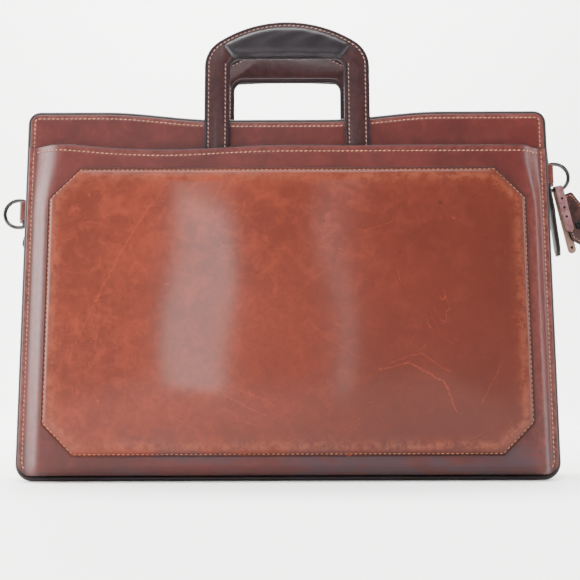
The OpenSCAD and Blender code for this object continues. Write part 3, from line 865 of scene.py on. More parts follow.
def piece(name, bm, kinds, body=None, replaces=(), edge=None, sharp=40.0):
    """Makes a finished object from a bmesh. kinds are its materials, and edge is a function of
    a place that says how rubbed the leather is there, and, below zero, how much painted shade darkens it."""
    mesh = bpy.data.meshes.new(name)
    bm.to_mesh(mesh)
    bm.free()
    for kind in [kinds] if isinstance(kinds, str) else kinds:
        mesh.materials.append(finish(kind))
    mesh.shade_smooth()
    mesh.set_sharp_from_angle(angle=math.radians(sharp))
    if edge:
        values = mesh.attributes.new("edge", "FLOAT", "POINT")
        for v, item in zip(mesh.vertices, values.data):
            item.value = edge(v.co)
    obj = bpy.data.objects.new(name, mesh)
    bpy.context.scene.collection.objects.link(obj)
    if body:
        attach(obj, body)
    if replaces:
        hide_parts(*replaces)
    return obj


def to_rear(bm):
    """Turns a front part round to the rear."""
    bmesh.ops.scale(bm, vec=(1.0, -1.0, 1.0), verts=bm.verts)
    bmesh.ops.reverse_faces(bm, faces=bm.faces)


def to_left(bm):
    """Turns a right-hand part into its left twin."""
    bmesh.ops.scale(bm, vec=(-1.0, 1.0, 1.0), verts=bm.verts)
    bmesh.ops.reverse_faces(bm, faces=bm.faces)


def sheet_of(bm, u_at, thickness):
    """Lifts a flat grid to its surface and gives it the thickness of its leather, inwards."""
    for v in bm.verts:
        v.co.y = -u_at(v.co.x, v.co.z)
    thicken(bm, thickness)
    return bm


def paint_edges(bm, below=None):
    """Gives the cut edges of a sheet its second material, and a narrow band under a height too; below a pocket's
    mouth that band is edge paint and painted shadow together.
    """
    bm.normal_update()
    for f in bm.faces:
        c = f.calc_center_median()
        painted = abs(f.normal.y) < 0.25 or (below and below(c.x) - c.z < 0.9 * MM)
        f.material_index = 1 if painted else 0


def drop_edge(bm, top, shift, reach):
    """Lowers the top edge of a grid by a curve, fading out below."""
    for v in bm.verts:
        v.co.z -= shift(v.co.x) * smooth((v.co.z - top + reach) / reach)


def side_body(rear):
    """The body of a wall."""
    return "case" if rear else "front_wall"


def side_name(rear):
    """The word that starts the names of a wall's pieces."""
    return "rear" if rear else "front"


def wall_seam():
    """The line of stitches near the edge of a wall, from low on one side over the top."""
    d = SEAM_INSET
    w, z1 = HALF_W - d, WALL_TOP - d
    side = [(w, z) for z in (MOUTH_Z - 6 * MM, (MOUTH_Z + z1) / 2)]
    corner = arc(w - 3 * MM, z1 - 3 * MM, 3 * MM, 0, 90, 4)
    top = [(w - 3 * MM - (2 * w - 6 * MM) * i / 60, z1) for i in range(1, 60)]
    half = side + corner
    line = half + top + [(-x, z) for x, z in reversed(half)]
    return [(x, z - top_sag(x) * smooth((z - z1 + 0.02) / 0.02)) for x, z in line]


def pocket_seam(side):
    """The line of stitches down one side of a pocket, curving in at the bottom corner."""
    d, r = SEAM_INSET, LOW_CORNER - SEAM_INSET
    w, z0, z1 = HALF_W - d, WALL_LOW + d, MOUTH_Z - 1.5 * MM
    line = [(w, z1 - (z1 - z0 - r) * i / 60) for i in range(61)] + arc(w - r, z0 + r, r, 0, -50, 4)
    return [(side * x, z) for x, z in line]


def on_surface(line, u_at, rear):
    """Puts a flat line onto a wall's surface."""
    sign = 1.0 if rear else -1.0
    return [Vector((x, sign * u_at(x, z), z)) for x, z in line]


def seam_piece(name, runs, body, pitch=None, closed=False, kind="thread"):
    """One piece that holds the stitches of several lines. Each run is (points, outward)."""
    sizes = bpy.context.scene.briefcase_sizes
    bm = bmesh.new()
    for points, outward in runs:
        stitch_run(
            bm, points, outward, pitch or sizes.stitch_pitch, sizes.stitch_length,
            sizes.thread_width, closed,
        )
    return piece(name, bm, kind, body)


def make_wall(rear):
    """The wall's leather, its edge sewn down over the piping."""
    xs = spaced(-HALF_W, HALF_W, EDGE_STEPS, 8 * MM)
    zs = spaced(WALL_LOW, WALL_TOP, EDGE_STEPS, 8 * MM)
    bm = round_grid(xs, zs, LOW_CORNER, TOP_CORNER)
    drop_edge(bm, WALL_TOP, top_sag, 40 * MM)
    sheet_of(bm, wall_u, 1.2 * MM)
    paint_edges(bm)
    if rear:
        to_rear(bm)
    name, body = side_name(rear), side_body(rear)

    def wear_and_edge_darkening(co):
        d = rim_distance(co.x, co.z, HALF_W, WALL_LOW, WALL_TOP - top_sag(co.x), LOW_CORNER, TOP_CORNER)
        return 0.8 * hump((d - 2.0 * MM) / (1.5 * MM)) - 0.9 * hump(d / (1.2 * MM))

    piece(name + "_wall_leather", bm, ["border", "edge"], body, [name + "_panel"], wear_and_edge_darkening)
    out = (0, 1, 0) if rear else (0, -1, 0)
    seam_piece(name + "_wall_stitches", [(on_surface(wall_seam(), wall_u, rear), out)], body)


def make_pocket(rear):
    """The slip pocket: a leather front that rises from its sewn edge, with an open, folded mouth."""
    xs = spaced(-HALF_W, HALF_W, EDGE_STEPS, 6 * MM)
    zs = spaced(WALL_LOW, MOUTH_Z, EDGE_STEPS, 6 * MM)
    bm = round_grid(xs, zs, LOW_CORNER, 0)
    drop_edge(bm, MOUTH_Z, mouth_sag, 45 * MM)
    sheet_of(bm, pocket_u, 1.2 * MM)
    # The black band below the mouth is edge paint and also painted shadow of the gap behind the lip.
    paint_edges(bm, lambda x: MOUTH_Z - mouth_sag(x))
    if rear:
        to_rear(bm)
    name, body = side_name(rear), side_body(rear)

    def wear_and_edge_darkening(co):
        d = HALF_W - abs(co.x)
        below = MOUTH_Z - mouth_sag(co.x) - co.z
        seam = 0.9 * hump((d - 2.0 * MM) / (1.5 * MM)) + 0.45 * hump((d - 13 * MM) / (6 * MM))
        # Painted shadow along the mouth, on top of its black edge paint, and darker towards the bottom edge.
        dark = 1.2 * hump(below / (0.9 * MM)) + 0.5 * hump((co.z - WALL_LOW) / (7 * MM))
        return max(seam, 0.5 * hump(below / (4 * MM))) - dark

    piece(
        name + "_pocket_leather", bm, ["border", "edge"], body,
        [name + "_pocket_panel", name + "_pocket_lining"], wear_and_edge_darkening,
    )
    out = (0, 1, 0) if rear else (0, -1, 0)
    w = HALF_W - 6.5 * MM
    across = [-w + 2 * w * i / 80 for i in range(81)]
    mouth = [(x, MOUTH_Z - mouth_sag(x) - 5.0 * MM) for x in across]
    seam_piece(
        name + "_pocket_stitches",
        [(on_surface(line, pocket_u, rear), out) for line in (pocket_seam(-1), pocket_seam(1), mouth)],
        body,
    )


def ringed_patch(outline, rings, pitch_x, pitch_z):
    """A flat patch inside an outline, with fine rings along its edge and slices across it."""
    bm = bmesh.new()
    inner = bm.faces.new([bm.verts.new((x, 0.0, z)) for x, z in outline])
    last = 0.0
    for ring in rings:
        bmesh.ops.inset_region(
            bm, faces=[inner], thickness=ring - last, use_even_offset=True, use_boundary=True
        )
        last = ring
    xs = [x for x, _ in outline]
    zs = [z for _, z in outline]
    for low, high, pitch, axis in ((min(xs), max(xs), pitch_x, 0), (min(zs), max(zs), pitch_z, 2)):
        count = max(1, round((high - low) / pitch))
        for i in range(1, count):
            place, normal = Vector((0, 0, 0)), Vector((0, 0, 0))
            place[axis], normal[axis] = low + (high - low) * i / count, 1.0
            geom = list(bm.verts) + list(bm.edges) + list(bm.faces)
            bmesh.ops.bisect_plane(bm, geom=geom, plane_co=place, plane_no=normal, dist=1e-6)
    return bm


def make_centre_panel():
    """The padded eight-sided panel that is sewn onto the front pocket."""
    rings = [r * MM for r in (0.3, 0.8, 1.3, 1.8, 2.2, 2.6, 3.1, 3.8, 4.8, 6.0, 7.5, 9.2, 11.0, 13.0)]
    bm = ringed_patch(octagon(0.0), rings, 6 * MM, 6 * MM)
    sheet_of(bm, centre_u, 1.4 * MM)

    def wear_and_edge_darkening(co):
        d = octagon_distance(co.x, co.z)
        # Lighter wear on the padding, and painted shade in the groove along the panel's edge.
        return 0.5 * hump((d - 8 * MM) / (4 * MM)) - 0.9 * hump(d / (2.2 * MM))

    piece(
        "centre_panel_leather", bm, "centre", "front_wall",
        ["centre_panel", "centre_padding"], wear_and_edge_darkening,
    )
    corners = octagon(CENTRE_SEAM)
    line = []
    for (x0, z0), (x1, z1) in zip(corners, corners[1:] + corners[:1]):
        count = max(2, round(math.hypot(x1 - x0, z1 - z0) / (5 * MM)))
        line += [(x0 + (x1 - x0) * i / count, z0 + (z1 - z0) * i / count) for i in range(count)]
    seam_piece(
        "centre_panel_stitches", [(on_surface(line, centre_u, False), (0, -1, 0))],
        "front_wall", closed=True,
    )


PIPING_R = (PIPING_HIGH.y - PIPING_LOW.y) / 2 - 0.4 * MM


def piping_path(rear):
    """The line of a wall's piping: up the right side, over the sunken top and back."""
    r = PIPING_R
    y = (PIPING_HIGH.y + PIPING_LOW.y) / 2 + 0.8 * MM
    y = -y if rear else y
    w, z0, z1 = CASE_HALF_W - r, r, CASE_H - r
    low, top = 14 * MM - r, 10 * MM - r
    side = z1 - z0 - low - top
    right = arc(w - low, z0 + low, low, -90, 0, 8) + [(w, z0 + low + side * i / 12) for i in range(1, 12)]
    right += arc(w - top, z1 - top, top, 0, 90, 6)
    over = [(w - top - 2 * (w - top) * i / 40, z1) for i in range(1, 40)]
    under = [(-w + low + 2 * (w - low) * i / 20, z0) for i in range(1, 20)]
    line = right + over + [(-x, z) for x, z in reversed(right)] + under
    return [Vector((x, y, z - top_sag(x) * smooth((z - z1 + 0.02) / 0.02))) for x, z in line]


def make_piping(rear):
    """The glossy round piping that runs round a wall."""
    name = side_name(rear)
    bm = bmesh.new()
    r = PIPING_R
    sweep(bm, piping_path(rear), (0, 1, 0), round_section(r, 14), closed=True)
    bmesh.ops.recalc_face_normals(bm, faces=bm.faces)
    piece(
        name + "_edge_piping", bm, "piping", side_body(rear), [name + "_piping"],
        lambda co: 0.5,
    )


# ---------------------------------------------------------------- handles

ARCH_R = 103.4 * MM
ARCH_CORNER = 26.0 * MM
LEG_W = 21.0 * MM
GAP_CORNER = 8.0 * MM
GAP_TOP = 345.0 * MM
HANDLE_TOP = HANDLE_HIGH.z
HANDLE_HALF_W = HANDLE_HIGH.x
MITRE_OUT = (55.5 * MM, 361.0 * MM)
MITRE_IN = (45.0 * MM, 346.0 * MM)
HANDLE_SEAM = 3.6 * MM


def handle_arch(inset, low_z, fine=1):
    """The outer line of a handle, from the right leg's foot over the arch to the left one."""
    w, big, small = HANDLE_HALF_W - inset, ARCH_R - inset, ARCH_CORNER - inset
    cz0 = HANDLE_TOP - ARCH_R
    a = math.degrees(math.acos((HANDLE_HALF_W - ARCH_CORNER) / (ARCH_R - ARCH_CORNER)))
    cx = HANDLE_HALF_W - ARCH_CORNER
    cz = cz0 + (ARCH_R - ARCH_CORNER) * math.sin(math.radians(a))
    right = [(w, low_z)] + arc(cx, cz, small, 0, a, 8 * fine)
    top = arc(0, cz0, big, a, 180 - a, 24 * fine)
    return right + top[1:-1] + [(-x, z) for x, z in reversed(right)]


def handle_gap(inset, low_z):
    """The inner line of a handle, from the left leg's foot round the hand gap to the right one."""
    w, r = HANDLE_HALF_W - LEG_W + inset, GAP_CORNER + inset
    top = GAP_TOP + inset
    right = [(w, low_z)] + arc(w - r, top - r, r, 0, 90, 6)
    return [(-x, z) for x, z in right] + right[::-1]


def handle_slab(y_front, y_back, edge_r):
    """The strap of a handle: a horseshoe slab with rounded, painted edges and stitch grooves."""
    low = HANDLE_LOW.z
    bm = bmesh.new()
    line = handle_arch(0, low) + handle_gap(0, low)
    face = bm.faces.new([bm.verts.new((x, y_back, z)) for x, z in line])
    made = bmesh.ops.extrude_face_region(bm, geom=[face])["geom"]
    top = [g for g in made if isinstance(g, bmesh.types.BMVert)]
    bmesh.ops.translate(bm, verts=top, vec=(0, y_front - y_back, 0))
    bmesh.ops.recalc_face_normals(bm, faces=bm.faces)
    rims = [
        e for e in bm.edges
        if abs(e.verts[0].co.y - e.verts[1].co.y) < 1e-7 and max(v.co.z for v in e.verts) > low + 1e-5
    ]
    bmesh.ops.bevel(
        bm, geom=rims, affect="EDGES", offset=edge_r, segments=4, profile=0.5, material=-1,
        offset_type="OFFSET",
    )
    for f in bm.faces:
        f.material_index = 1 if abs(f.normal.y) < 0.98 else 0
    flats = sorted(bm.faces, key=lambda f: f.calc_area())[-2:]
    for f in flats:
        inward = 1.0 if f.normal.y < 0 else -1.0
        inner = f
        for step, sink in ((0.9, 0.0), (HANDLE_SEAM / MM - edge_r / MM - 1.5, 0.0), (0.6, 0.28), (0.6, 0.0)):
            ring = bmesh.ops.inset_region(bm, faces=[inner], thickness=step * MM, use_even_offset=True)["faces"]
            for g in ring:
                g.material_index = 1 if step == 0.9 else 0
            for v in inner.verts:
                v.co.y += inward * (sink * MM if sink else 0.0)
            if sink == 0.0:
                level = y_front if inward > 0 else y_back
                for v in inner.verts:
                    v.co.y = level
    return bm


def mitre_grooves(bm, y_front):
    """Cuts the two seams where the arch meets the legs into the front face."""
    for side in (-1, 1):
        a = Vector((side * MITRE_OUT[0], 0, MITRE_OUT[1]))
        b = Vector((side * MITRE_IN[0], 0, MITRE_IN[1]))
        normal = (b - a).cross(Vector((0, 1, 0))).normalized()
        for off in (-0.5, 0.0, 0.5):
            faces = [f for f in bm.faces if f.normal.y < -0.9 and side * f.calc_center_median().x > -0.07]
            geom = list({v for f in faces for v in f.verts}) + list({e for f in faces for e in f.edges}) + faces
            bmesh.ops.bisect_plane(bm, geom=geom, plane_co=a + normal * off * MM, plane_no=normal, dist=1e-7)
        for v in bm.verts:
            off_line = segment_distance(v.co.x, v.co.z, (a.x, a.z), (b.x, b.z))
            if abs(v.co.y - y_front) < 0.5 * MM and off_line < 0.1 * MM:
                v.co.y += 0.5 * MM


def grip_outline():
    """The worn grip's outline on the handle's face: under the arch's stitches, between the mitres."""
    arch_z = HANDLE_TOP - ARCH_R
    top = arc(0, arch_z, ARCH_R - 5.4 * MM, 57.5, 122.5, 30)
    low = [
        (-44.5 * MM + 89.0 * MM * i / 24, GAP_TOP - 0.6 * MM + 1.4 * MM * math.sin(math.pi * i / 24))
        for i in range(25)
    ]
    return low + top


def make_handle(rear):
    """A drop handle: painted straps, a padded grip, stitches and the stops on its feet."""
    name = side_name(rear)
    body = name + "_handle"
    y_front, y_back = HANDLE_LOW.y, HANDLE_BACK_HIGH.y
    bm = handle_slab(y_front, y_back, 1.5 * MM)
    mitre_grooves(bm, y_front)
    if rear:
        to_rear(bm)
    node = name + "_handle_"
    piece(
        name + "_handle_straps", bm, ["handle", "edge"], body, [node + "face", node + "core", node + "back"],
        lambda co: 0.35,
    )
    outline = grip_outline()
    bm = ringed_patch(outline, [], 2.4 * MM, 1.8 * MM)

    def puff(x, z):
        d = outline_distance(x, z, outline)
        low = 1.0 - smooth((z - GAP_TOP) / (9 * MM))
        rise = math.sqrt(max(1.0 - (1.0 - min(d / (4.5 * MM), 1.0)) ** 2, 0.0))
        fold = 0.16 * MM * math.sin(x / (4.3 * MM) + 6 * math.sin(z / (9 * MM))) * rise
        return -y_front + 0.1 * MM + (2.0 * MM + 0.9 * MM * low) * rise + fold

    for v in bm.verts:
        v.co.y = -puff(v.co.x, v.co.z)
    thicken(bm, 1.0 * MM)
    if rear:
        to_rear(bm)
    grip = piece(
        name + "_grip_leather", bm, "grip", body, [name + "_grip_pad"],
        lambda co: hump((outline_distance(co.x, co.z, outline) - 3 * MM) / (2 * MM)) * 0.4,
    )
    low = HANDLE_LOW.z + 2 * MM
    inner = handle_gap(HANDLE_SEAM, low)
    legs = [[foot, (top[0], GAP_TOP - 4 * MM)] for foot, top in (inner[:2], inner[:-3:-1])]
    runs = []
    for y, outward in ((y_front, -1.0), (y_back - 0.4 * MM, 1.0)):
        side = -1.0 if rear else 1.0
        for line in [handle_arch(HANDLE_SEAM, low, 2)] + legs:
            runs.append(([Vector((x, side * y, z)) for x, z in line], (0, side * outward, 0)))
    seam_piece(name + "_handle_stitches", runs, body, kind="dark thread")
    bm = bmesh.new()
    lo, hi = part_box(name + "_handle_stops")
    half = (hi.x - lo.x) / 2
    foot_w = 27 * MM
    for side in (-1, 1):
        cx = side * (half - foot_w / 2)
        centre = Vector((cx, (lo.y + hi.y) / 2, (lo.z + hi.z) / 2))
        size = Matrix.Diagonal((foot_w, hi.y - lo.y, hi.z - lo.z, 1))
        made = bmesh.ops.create_cube(bm, size=1.0, matrix=Matrix.Translation(centre) @ size)["verts"]
        edges = list({e for v in made for e in v.link_edges})
        bmesh.ops.bevel(bm, geom=edges, affect="EDGES", offset=0.8 * MM, segments=2, profile=0.5, material=-1)
    piece(name + "_leg_stops", bm, "handle", body, [name + "_handle_stops"], lambda co: 0.4)


# ---------------------------------------------------------------- gussets


def make_side_gusset(left):
    """The strip down a side and round its lower corner."""
    name = "left" if left else "right"
    x1, z1 = GUSSET_HIGH.x, GUSSET_HIGH.z
    z0, r = GUSSET_LOW.z, 9.0 * MM
    straight = [(x1, z1 - (z1 - z0 - r) * i / 40) for i in range(40)]
    path = straight + arc(x1 - r, z0 + r, r, 0, -90, 8) + [(GUSSET_LOW.x + 4 * MM, z0)]
    half = 17.3 * MM
    ys = spaced(-half, half, [s * MM for s in (0, 0.6, 1.5, 3)], 3 * MM)
    bm = grid(ys, range(len(path)))
    for v in bm.verts:
        y, i = v.co.x, min(int(round(v.co.z)), len(path) - 1)
        x, z = path[i]
        dish = 2.2 * MM * (1 - (y / half) ** 2) * smooth((z - 0.02) / 0.05) * (1 - smooth((z - 0.2) / 0.05))
        v.co = Vector((x - dish, y, z))
    bmesh.ops.recalc_face_normals(bm, faces=bm.faces)
    face = next(f for f in bm.faces if f.calc_center_median().z > 0.1)
    if face.normal.x < 0:
        bmesh.ops.reverse_faces(bm, faces=bm.faces)
    thicken(bm, 1.8 * MM)
    if left:
        to_left(bm)
    obj = piece(name + "_gusset_leather", bm, "border", None, [name + "_gusset"], lambda co: 0.2)
    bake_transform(obj)


def make_base():
    """The base: a belly of leather between the walls, and the board that stiffens it."""
    half_l, half_u = BASE_HIGH.x, 17.3 * MM
    xs = spaced(-half_l, half_l, [s * MM for s in (0, 2, 4, 6, 8, 10)], 14 * MM)
    ys = spaced(-half_u, half_u, [s * MM for s in (0, 0.6, 1.3, 2, 2.8, 3.6, 4.4)], 6 * MM)
    bm = grid(xs, ys)
    for v in bm.verts:
        x, y = v.co.x, v.co.z
        side = 1 - smooth((half_u - abs(y)) / (4.2 * MM))
        end = 1 - smooth((half_l - abs(x)) / (8 * MM))
        v.co = Vector((x, y, 5.0 * MM * max(side, end)))
    bmesh.ops.recalc_face_normals(bm, faces=bm.faces)
    if next(iter(bm.faces)).normal.z > 0:
        bmesh.ops.reverse_faces(bm, faces=bm.faces)
    thicken(bm, 1.8 * MM)
    piece("base_leather", bm, "border", "case", ["base_gusset"], lambda co: 0.5)
    finish_nodes(["base_board"], "board")


# ---------------------------------------------------------------- zip


def zip_strips(rear, x0, x1):
    """The facing, the tape and the teeth of one side of the zip, between two places."""
    xs = spaced(x0, x1, [0, 1 * MM], 8 * MM)
    facing = grid(xs, spaced(-U_PANEL + 2.2 * MM, FACING_HIGH.y, [0, 0.4 * MM, 1 * MM], 3 * MM))
    tape = grid(xs, spaced(TAPE_LOW.y, TAPE_HIGH.y, [0, 0.5 * MM], 2.2 * MM))
    for bm, z, thick in ((facing, FACING_HIGH.z, 1.5 * MM), (tape, TAPE_HIGH.z, 0.5 * MM)):
        for v in bm.verts:
            x, y = v.co.x, v.co.z
            wave = 0.25 * MM * math.sin(x / (11 * MM)) * (1.0 if bm is facing else 0.4)
            v.co = Vector((x, y, z + wave * smooth((-y - 4 * MM) / (8 * MM))))
        bmesh.ops.recalc_face_normals(bm, faces=bm.faces)
        if next(iter(bm.faces)).normal.z < 0:
            bmesh.ops.reverse_faces(bm, faces=bm.faces)
        thicken(bm, thick)
    teeth = bmesh.new()
    pitch = bpy.context.scene.briefcase_sizes.tooth_pitch
    mid_z = (TEETH_LOW.z + TEETH_HIGH.z) / 2
    count = int((min(x1, TEETH_HIGH.x) - max(x0, TEETH_LOW.x)) / pitch)
    start = max(x0, TEETH_LOW.x) + pitch * (0.75 if rear else 0.25)
    for i in range(count):
        x = start + pitch * i
        size = Matrix.Diagonal((pitch * 0.46, 2.5 * MM, 2.3 * MM, 1))
        place = Matrix.Translation((x, (TEETH_LOW.y + TEETH_HIGH.y) / 2, mid_z))
        made = bmesh.ops.create_cube(teeth, size=1.0, matrix=place @ size)["verts"]
        for v in made:
            if v.co.y > TEETH_LOW.y + 1.5 * MM:
                v.co.z = mid_z + (v.co.z - mid_z) * 0.72
    bmesh.ops.bevel(
        teeth, geom=list(teeth.edges), affect="EDGES", offset=0.22 * MM, segments=1, profile=0.5, material=-1
    )
    return facing, tape, teeth


def make_zip():
    """The zip across the top. Its front side is in two halves that stay joined at the ends."""
    sizes = bpy.context.scene.briefcase_sizes
    end = FACING_HIGH.x
    front_halves = [("front_left", -end, 0.0), ("front_right", 0.0, end)]
    for rear, halves in ((True, [("rear", -end, end)]), (False, front_halves)):
        for label, x0, x1 in halves:
            parts = zip(zip_strips(rear, x0, x1), ("facing", "tape", "teeth"), ("border", "tape", "brass"),
                        ("border_leather", "zip_tape", "zip_metal"))
            made = []
            for bm, word, kind, slot in parts:
                if rear:
                    to_rear(bm)
                node = f"{'rear' if rear else 'front'}_zip_{word}"
                made.append(piece(f"{label}_zip_{word}_piece", bm, kind, "case" if rear else None, [node]))
            bm = bmesh.new()
            sign = 1 if rear else -1
            y, z = sign * (-TAPE_LOW.y - 1.6 * MM), FACING_HIGH.z + 0.75 * MM
            line = [Vector((x0 + (x1 - x0) * i / 30, y, z)) for i in range(31)]
            stitch_run(bm, line, (0, 0, 1), sizes.stitch_pitch, sizes.stitch_length, sizes.thread_width)
            made.append(piece(f"{label}_zip_stitches", bm, "thread", "case" if rear else None))
            if not rear:
                for obj in made:
                    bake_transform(obj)


# ---------------------------------------------------------------- tails, rings and tag


def tail_path(node, left):
    """The middle line of a zip tail, read off its solid: over the end of the top, then down."""
    t = 2.4 * MM
    top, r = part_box(node)[1].z - t / 2, 7 * MM - t / 2
    bend_x = 212 * MM
    start = [(205 * MM, top), (209 * MM, top)]
    bend = arc(bend_x, top - r, r, 90, 0, 6)
    runs = [(220.3, 262), (221.3, 241), (225.5, 222), (229.5, 182)]
    if left:
        runs = [(219, 262), (219.2, 207), (222.9, 193), (220.5, 187)]
    down = [(x * MM - t / 2, z * MM) for x, z in runs]
    path = start + bend + down
    at, whole = along([Vector((x, 0, z)) for x, z in path])
    return [at(whole * i / 40) for i in range(41)]


def make_tail(left):
    """A zip tail: tape folded into a black strip that hangs over the gusset."""
    name = "left" if left else "right"
    path = tail_path(name + "_zip_tail", left)
    bm = bmesh.new()
    sweep(bm, path, (0, 1, 0), strap_section(21 * MM, 2.2 * MM, 0.9 * MM))
    low = path[-1].z
    for v in bm.verts:
        reach = smooth((low + 8 * MM - v.co.z) / (8 * MM))
        v.co.y *= (1.0 - 0.42 * reach * reach) * (1.0 - 0.45 * smooth((0.25 - v.co.z) / 0.04))
    bmesh.ops.recalc_face_normals(bm, faces=bm.faces)
    if left:
        to_left(bm)
    piece(name + "_tail_strip", bm, "piping", "case", [name + "_zip_tail"], lambda co: 0.3)


def make_ring_strap(left):
    """The strap across a gusset that holds a ring's bar."""
    name = "left" if left else "right"
    lo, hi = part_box(name + "_ring_strap")
    z = (lo.z + hi.z) / 2
    t = 1.8 * MM
    bar_x, slot_r = 223.3 * MM, 1.9 * MM
    top, wall, foot = 221.8 * MM + t / 2, 11 * MM + t / 2, hi.y
    floor = 211 * MM + t / 2
    bump = [(y, x) for y, x in arc(0, bar_x, slot_r + t / 2, 10, 170, 10)]
    line = [
        (foot, floor), (wall + 1.2 * MM, floor), (wall, floor + 1.2 * MM),
        (wall, top - 1.4 * MM), (wall - 1.4 * MM, top), (4.5 * MM, top),
    ]
    line = line + bump + [(-y, x) for y, x in reversed(line)]
    at, whole = along([Vector((x, y, z)) for y, x in line])
    bm = bmesh.new()
    sweep(bm, [at(whole * i / 60) for i in range(61)], (0, 0, 1), strap_section(hi.z - lo.z, t, 0.6 * MM))
    bmesh.ops.recalc_face_normals(bm, faces=bm.faces)
    if left:
        to_left(bm)
    piece(name + "_ring_holder", bm, "border", "case", [name + "_ring_strap"], lambda co: 0.5)


def finish_nodes(nodes, kind, rounding=0.25 * MM):
    """Gives CAD nodes whose shape is right their material, and softens their edges."""
    for n in nodes:
        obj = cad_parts[n]
        obj.data.materials.clear()
        obj.data.materials.append(finish(kind))
        soft = obj.modifiers.new("soft edges", "BEVEL")
        soft.width, soft.segments, soft.limit_method = rounding, 2, "ANGLE"


TAG_PIVOT = Vector((230.71 * MM, 0, 238.65 * MM))


def hang(bm, place, lean):
    """Hangs a part that was made with its top at the origin, leaning to the right as it falls."""
    bm.transform(Matrix.Translation(place) @ Matrix.Rotation(math.radians(-lean), 4, "Y"))


def make_tag_strap():
    """The folded strap that hangs the tag from its ring, with black discs painted as the shade of punched holes."""
    thick, r, width = 1.5 * MM, 3.25 * MM, 7 * MM
    front, rear = 37 * MM, 55 * MM
    tip = [v * MM for v in (0, 0.35, 0.8, 1.5, 2.4, 3.5, 6)]
    path = [(-r, v - front) for v in tip] + [(-r, -v * MM) for v in (24, 18, 12, 6, 1)]
    path += arc(0, 0, r, 180, 0, 10) + [(r, -v * MM) for v in (1, 8, 16, 24, 32, 40)]
    path += [(r, v - rear) for v in reversed(tip)]
    bm = bmesh.new()
    sweep(bm, [Vector((0, y, z)) for y, z in path], (1, 0, 0), strap_section(width, thick, 0.5 * MM))
    for v in bm.verts:
        left = v.co.z + (front if v.co.y < 0 else rear)
        if left < 3.5 * MM:
            v.co.x *= max(math.sqrt(max(1.0 - (1.0 - left / (3.5 * MM)) ** 2, 0.0)), 0.3)
    bmesh.ops.recalc_face_normals(bm, faces=bm.faces)
    for f in bm.faces:
        c = f.calc_center_median()
        f.material_index = 1 if c.z < 0 and f.normal.y * c.y < -0.5 * abs(c.y) else 0
    # Painted shade: flat black discs stand where the punched holes would show dark.
    for z in (-8, -16, -24, -50):
        y = -r - thick / 2 + 0.1 * MM if z > -40 else r - thick / 2 - 0.1 * MM
        hole_shade_disc = Matrix.Translation((0, y, z * MM)) @ Matrix.Rotation(math.pi / 2, 4, "X")
        made = bmesh.ops.create_cone(
            bm, cap_ends=True, segments=14, radius1=1.1 * MM, radius2=1.1 * MM, depth=0.3 * MM, matrix=hole_shade_disc
        )["verts"]
        for f in {f for v in made for f in v.link_faces}:
            f.material_index = 2
    hang(bm, TAG_PIVOT, 12)
    piece("tag_strap_leather", bm, ["strap", "suede", "edge"], "tag", ["tag_strap"], lambda co: 0.4)


def make_tag_plate():
    """The tag: two leathers sewn round a stiffener, with painted edges."""
    outline = [(4, -3.5), (12.5, -36), (12.5, -42), (6, -50), (-6, -50), (-12.5, -42), (-12.5, -36), (-4, -3.5)]
    half = 1.1 * MM
    bm = bmesh.new()
    face = bm.faces.new([bm.verts.new((x * MM, half, z * MM)) for x, z in outline])
    made = bmesh.ops.extrude_face_region(bm, geom=[face])["geom"]
    bmesh.ops.translate(bm, verts=[g for g in made if isinstance(g, bmesh.types.BMVert)], vec=(0, -2 * half, 0))
    bmesh.ops.recalc_face_normals(bm, faces=bm.faces)
    corners = [e for e in bm.edges if abs(e.verts[0].co.y - e.verts[1].co.y) > half]
    bmesh.ops.bevel(bm, geom=corners, affect="EDGES", offset=1.6 * MM, segments=3, profile=0.5, material=-1)
    rims = [e for e in bm.edges if abs(e.verts[0].co.y - e.verts[1].co.y) < 1e-7]
    bmesh.ops.bevel(bm, geom=rims, affect="EDGES", offset=0.5 * MM, segments=2, profile=0.5, material=-1)
    for f in bm.faces:
        f.material_index = 0 if abs(f.normal.y) > 0.98 else 1
    place = TAG_PIVOT + Vector((6.3 * MM, 0, 0.6 * MM))
    hang(bm, place, 21)
    piece("tag_leather", bm, ["tag", "edge"], "tag", ["tag_plate"], lambda co: 0.3)
    half_line = [(2.4, -6), (10, -35.8), (10, -41), (5, -47.5)]
    inner = [Vector((x, 0, z)) for x, z in half_line + [(-x, z) for x, z in reversed(half_line)]]
    bm = bmesh.new()
    for y in (-half, half):
        line = [p * MM + Vector((0, y, 0)) for p in inner]
        stitch_run(bm, line, (0, y, 0), 2.6 * MM, 1.9 * MM, 0.6 * MM, closed=True)
    hang(bm, place, 21)
    piece("tag_stitches", bm, "thread", "tag")


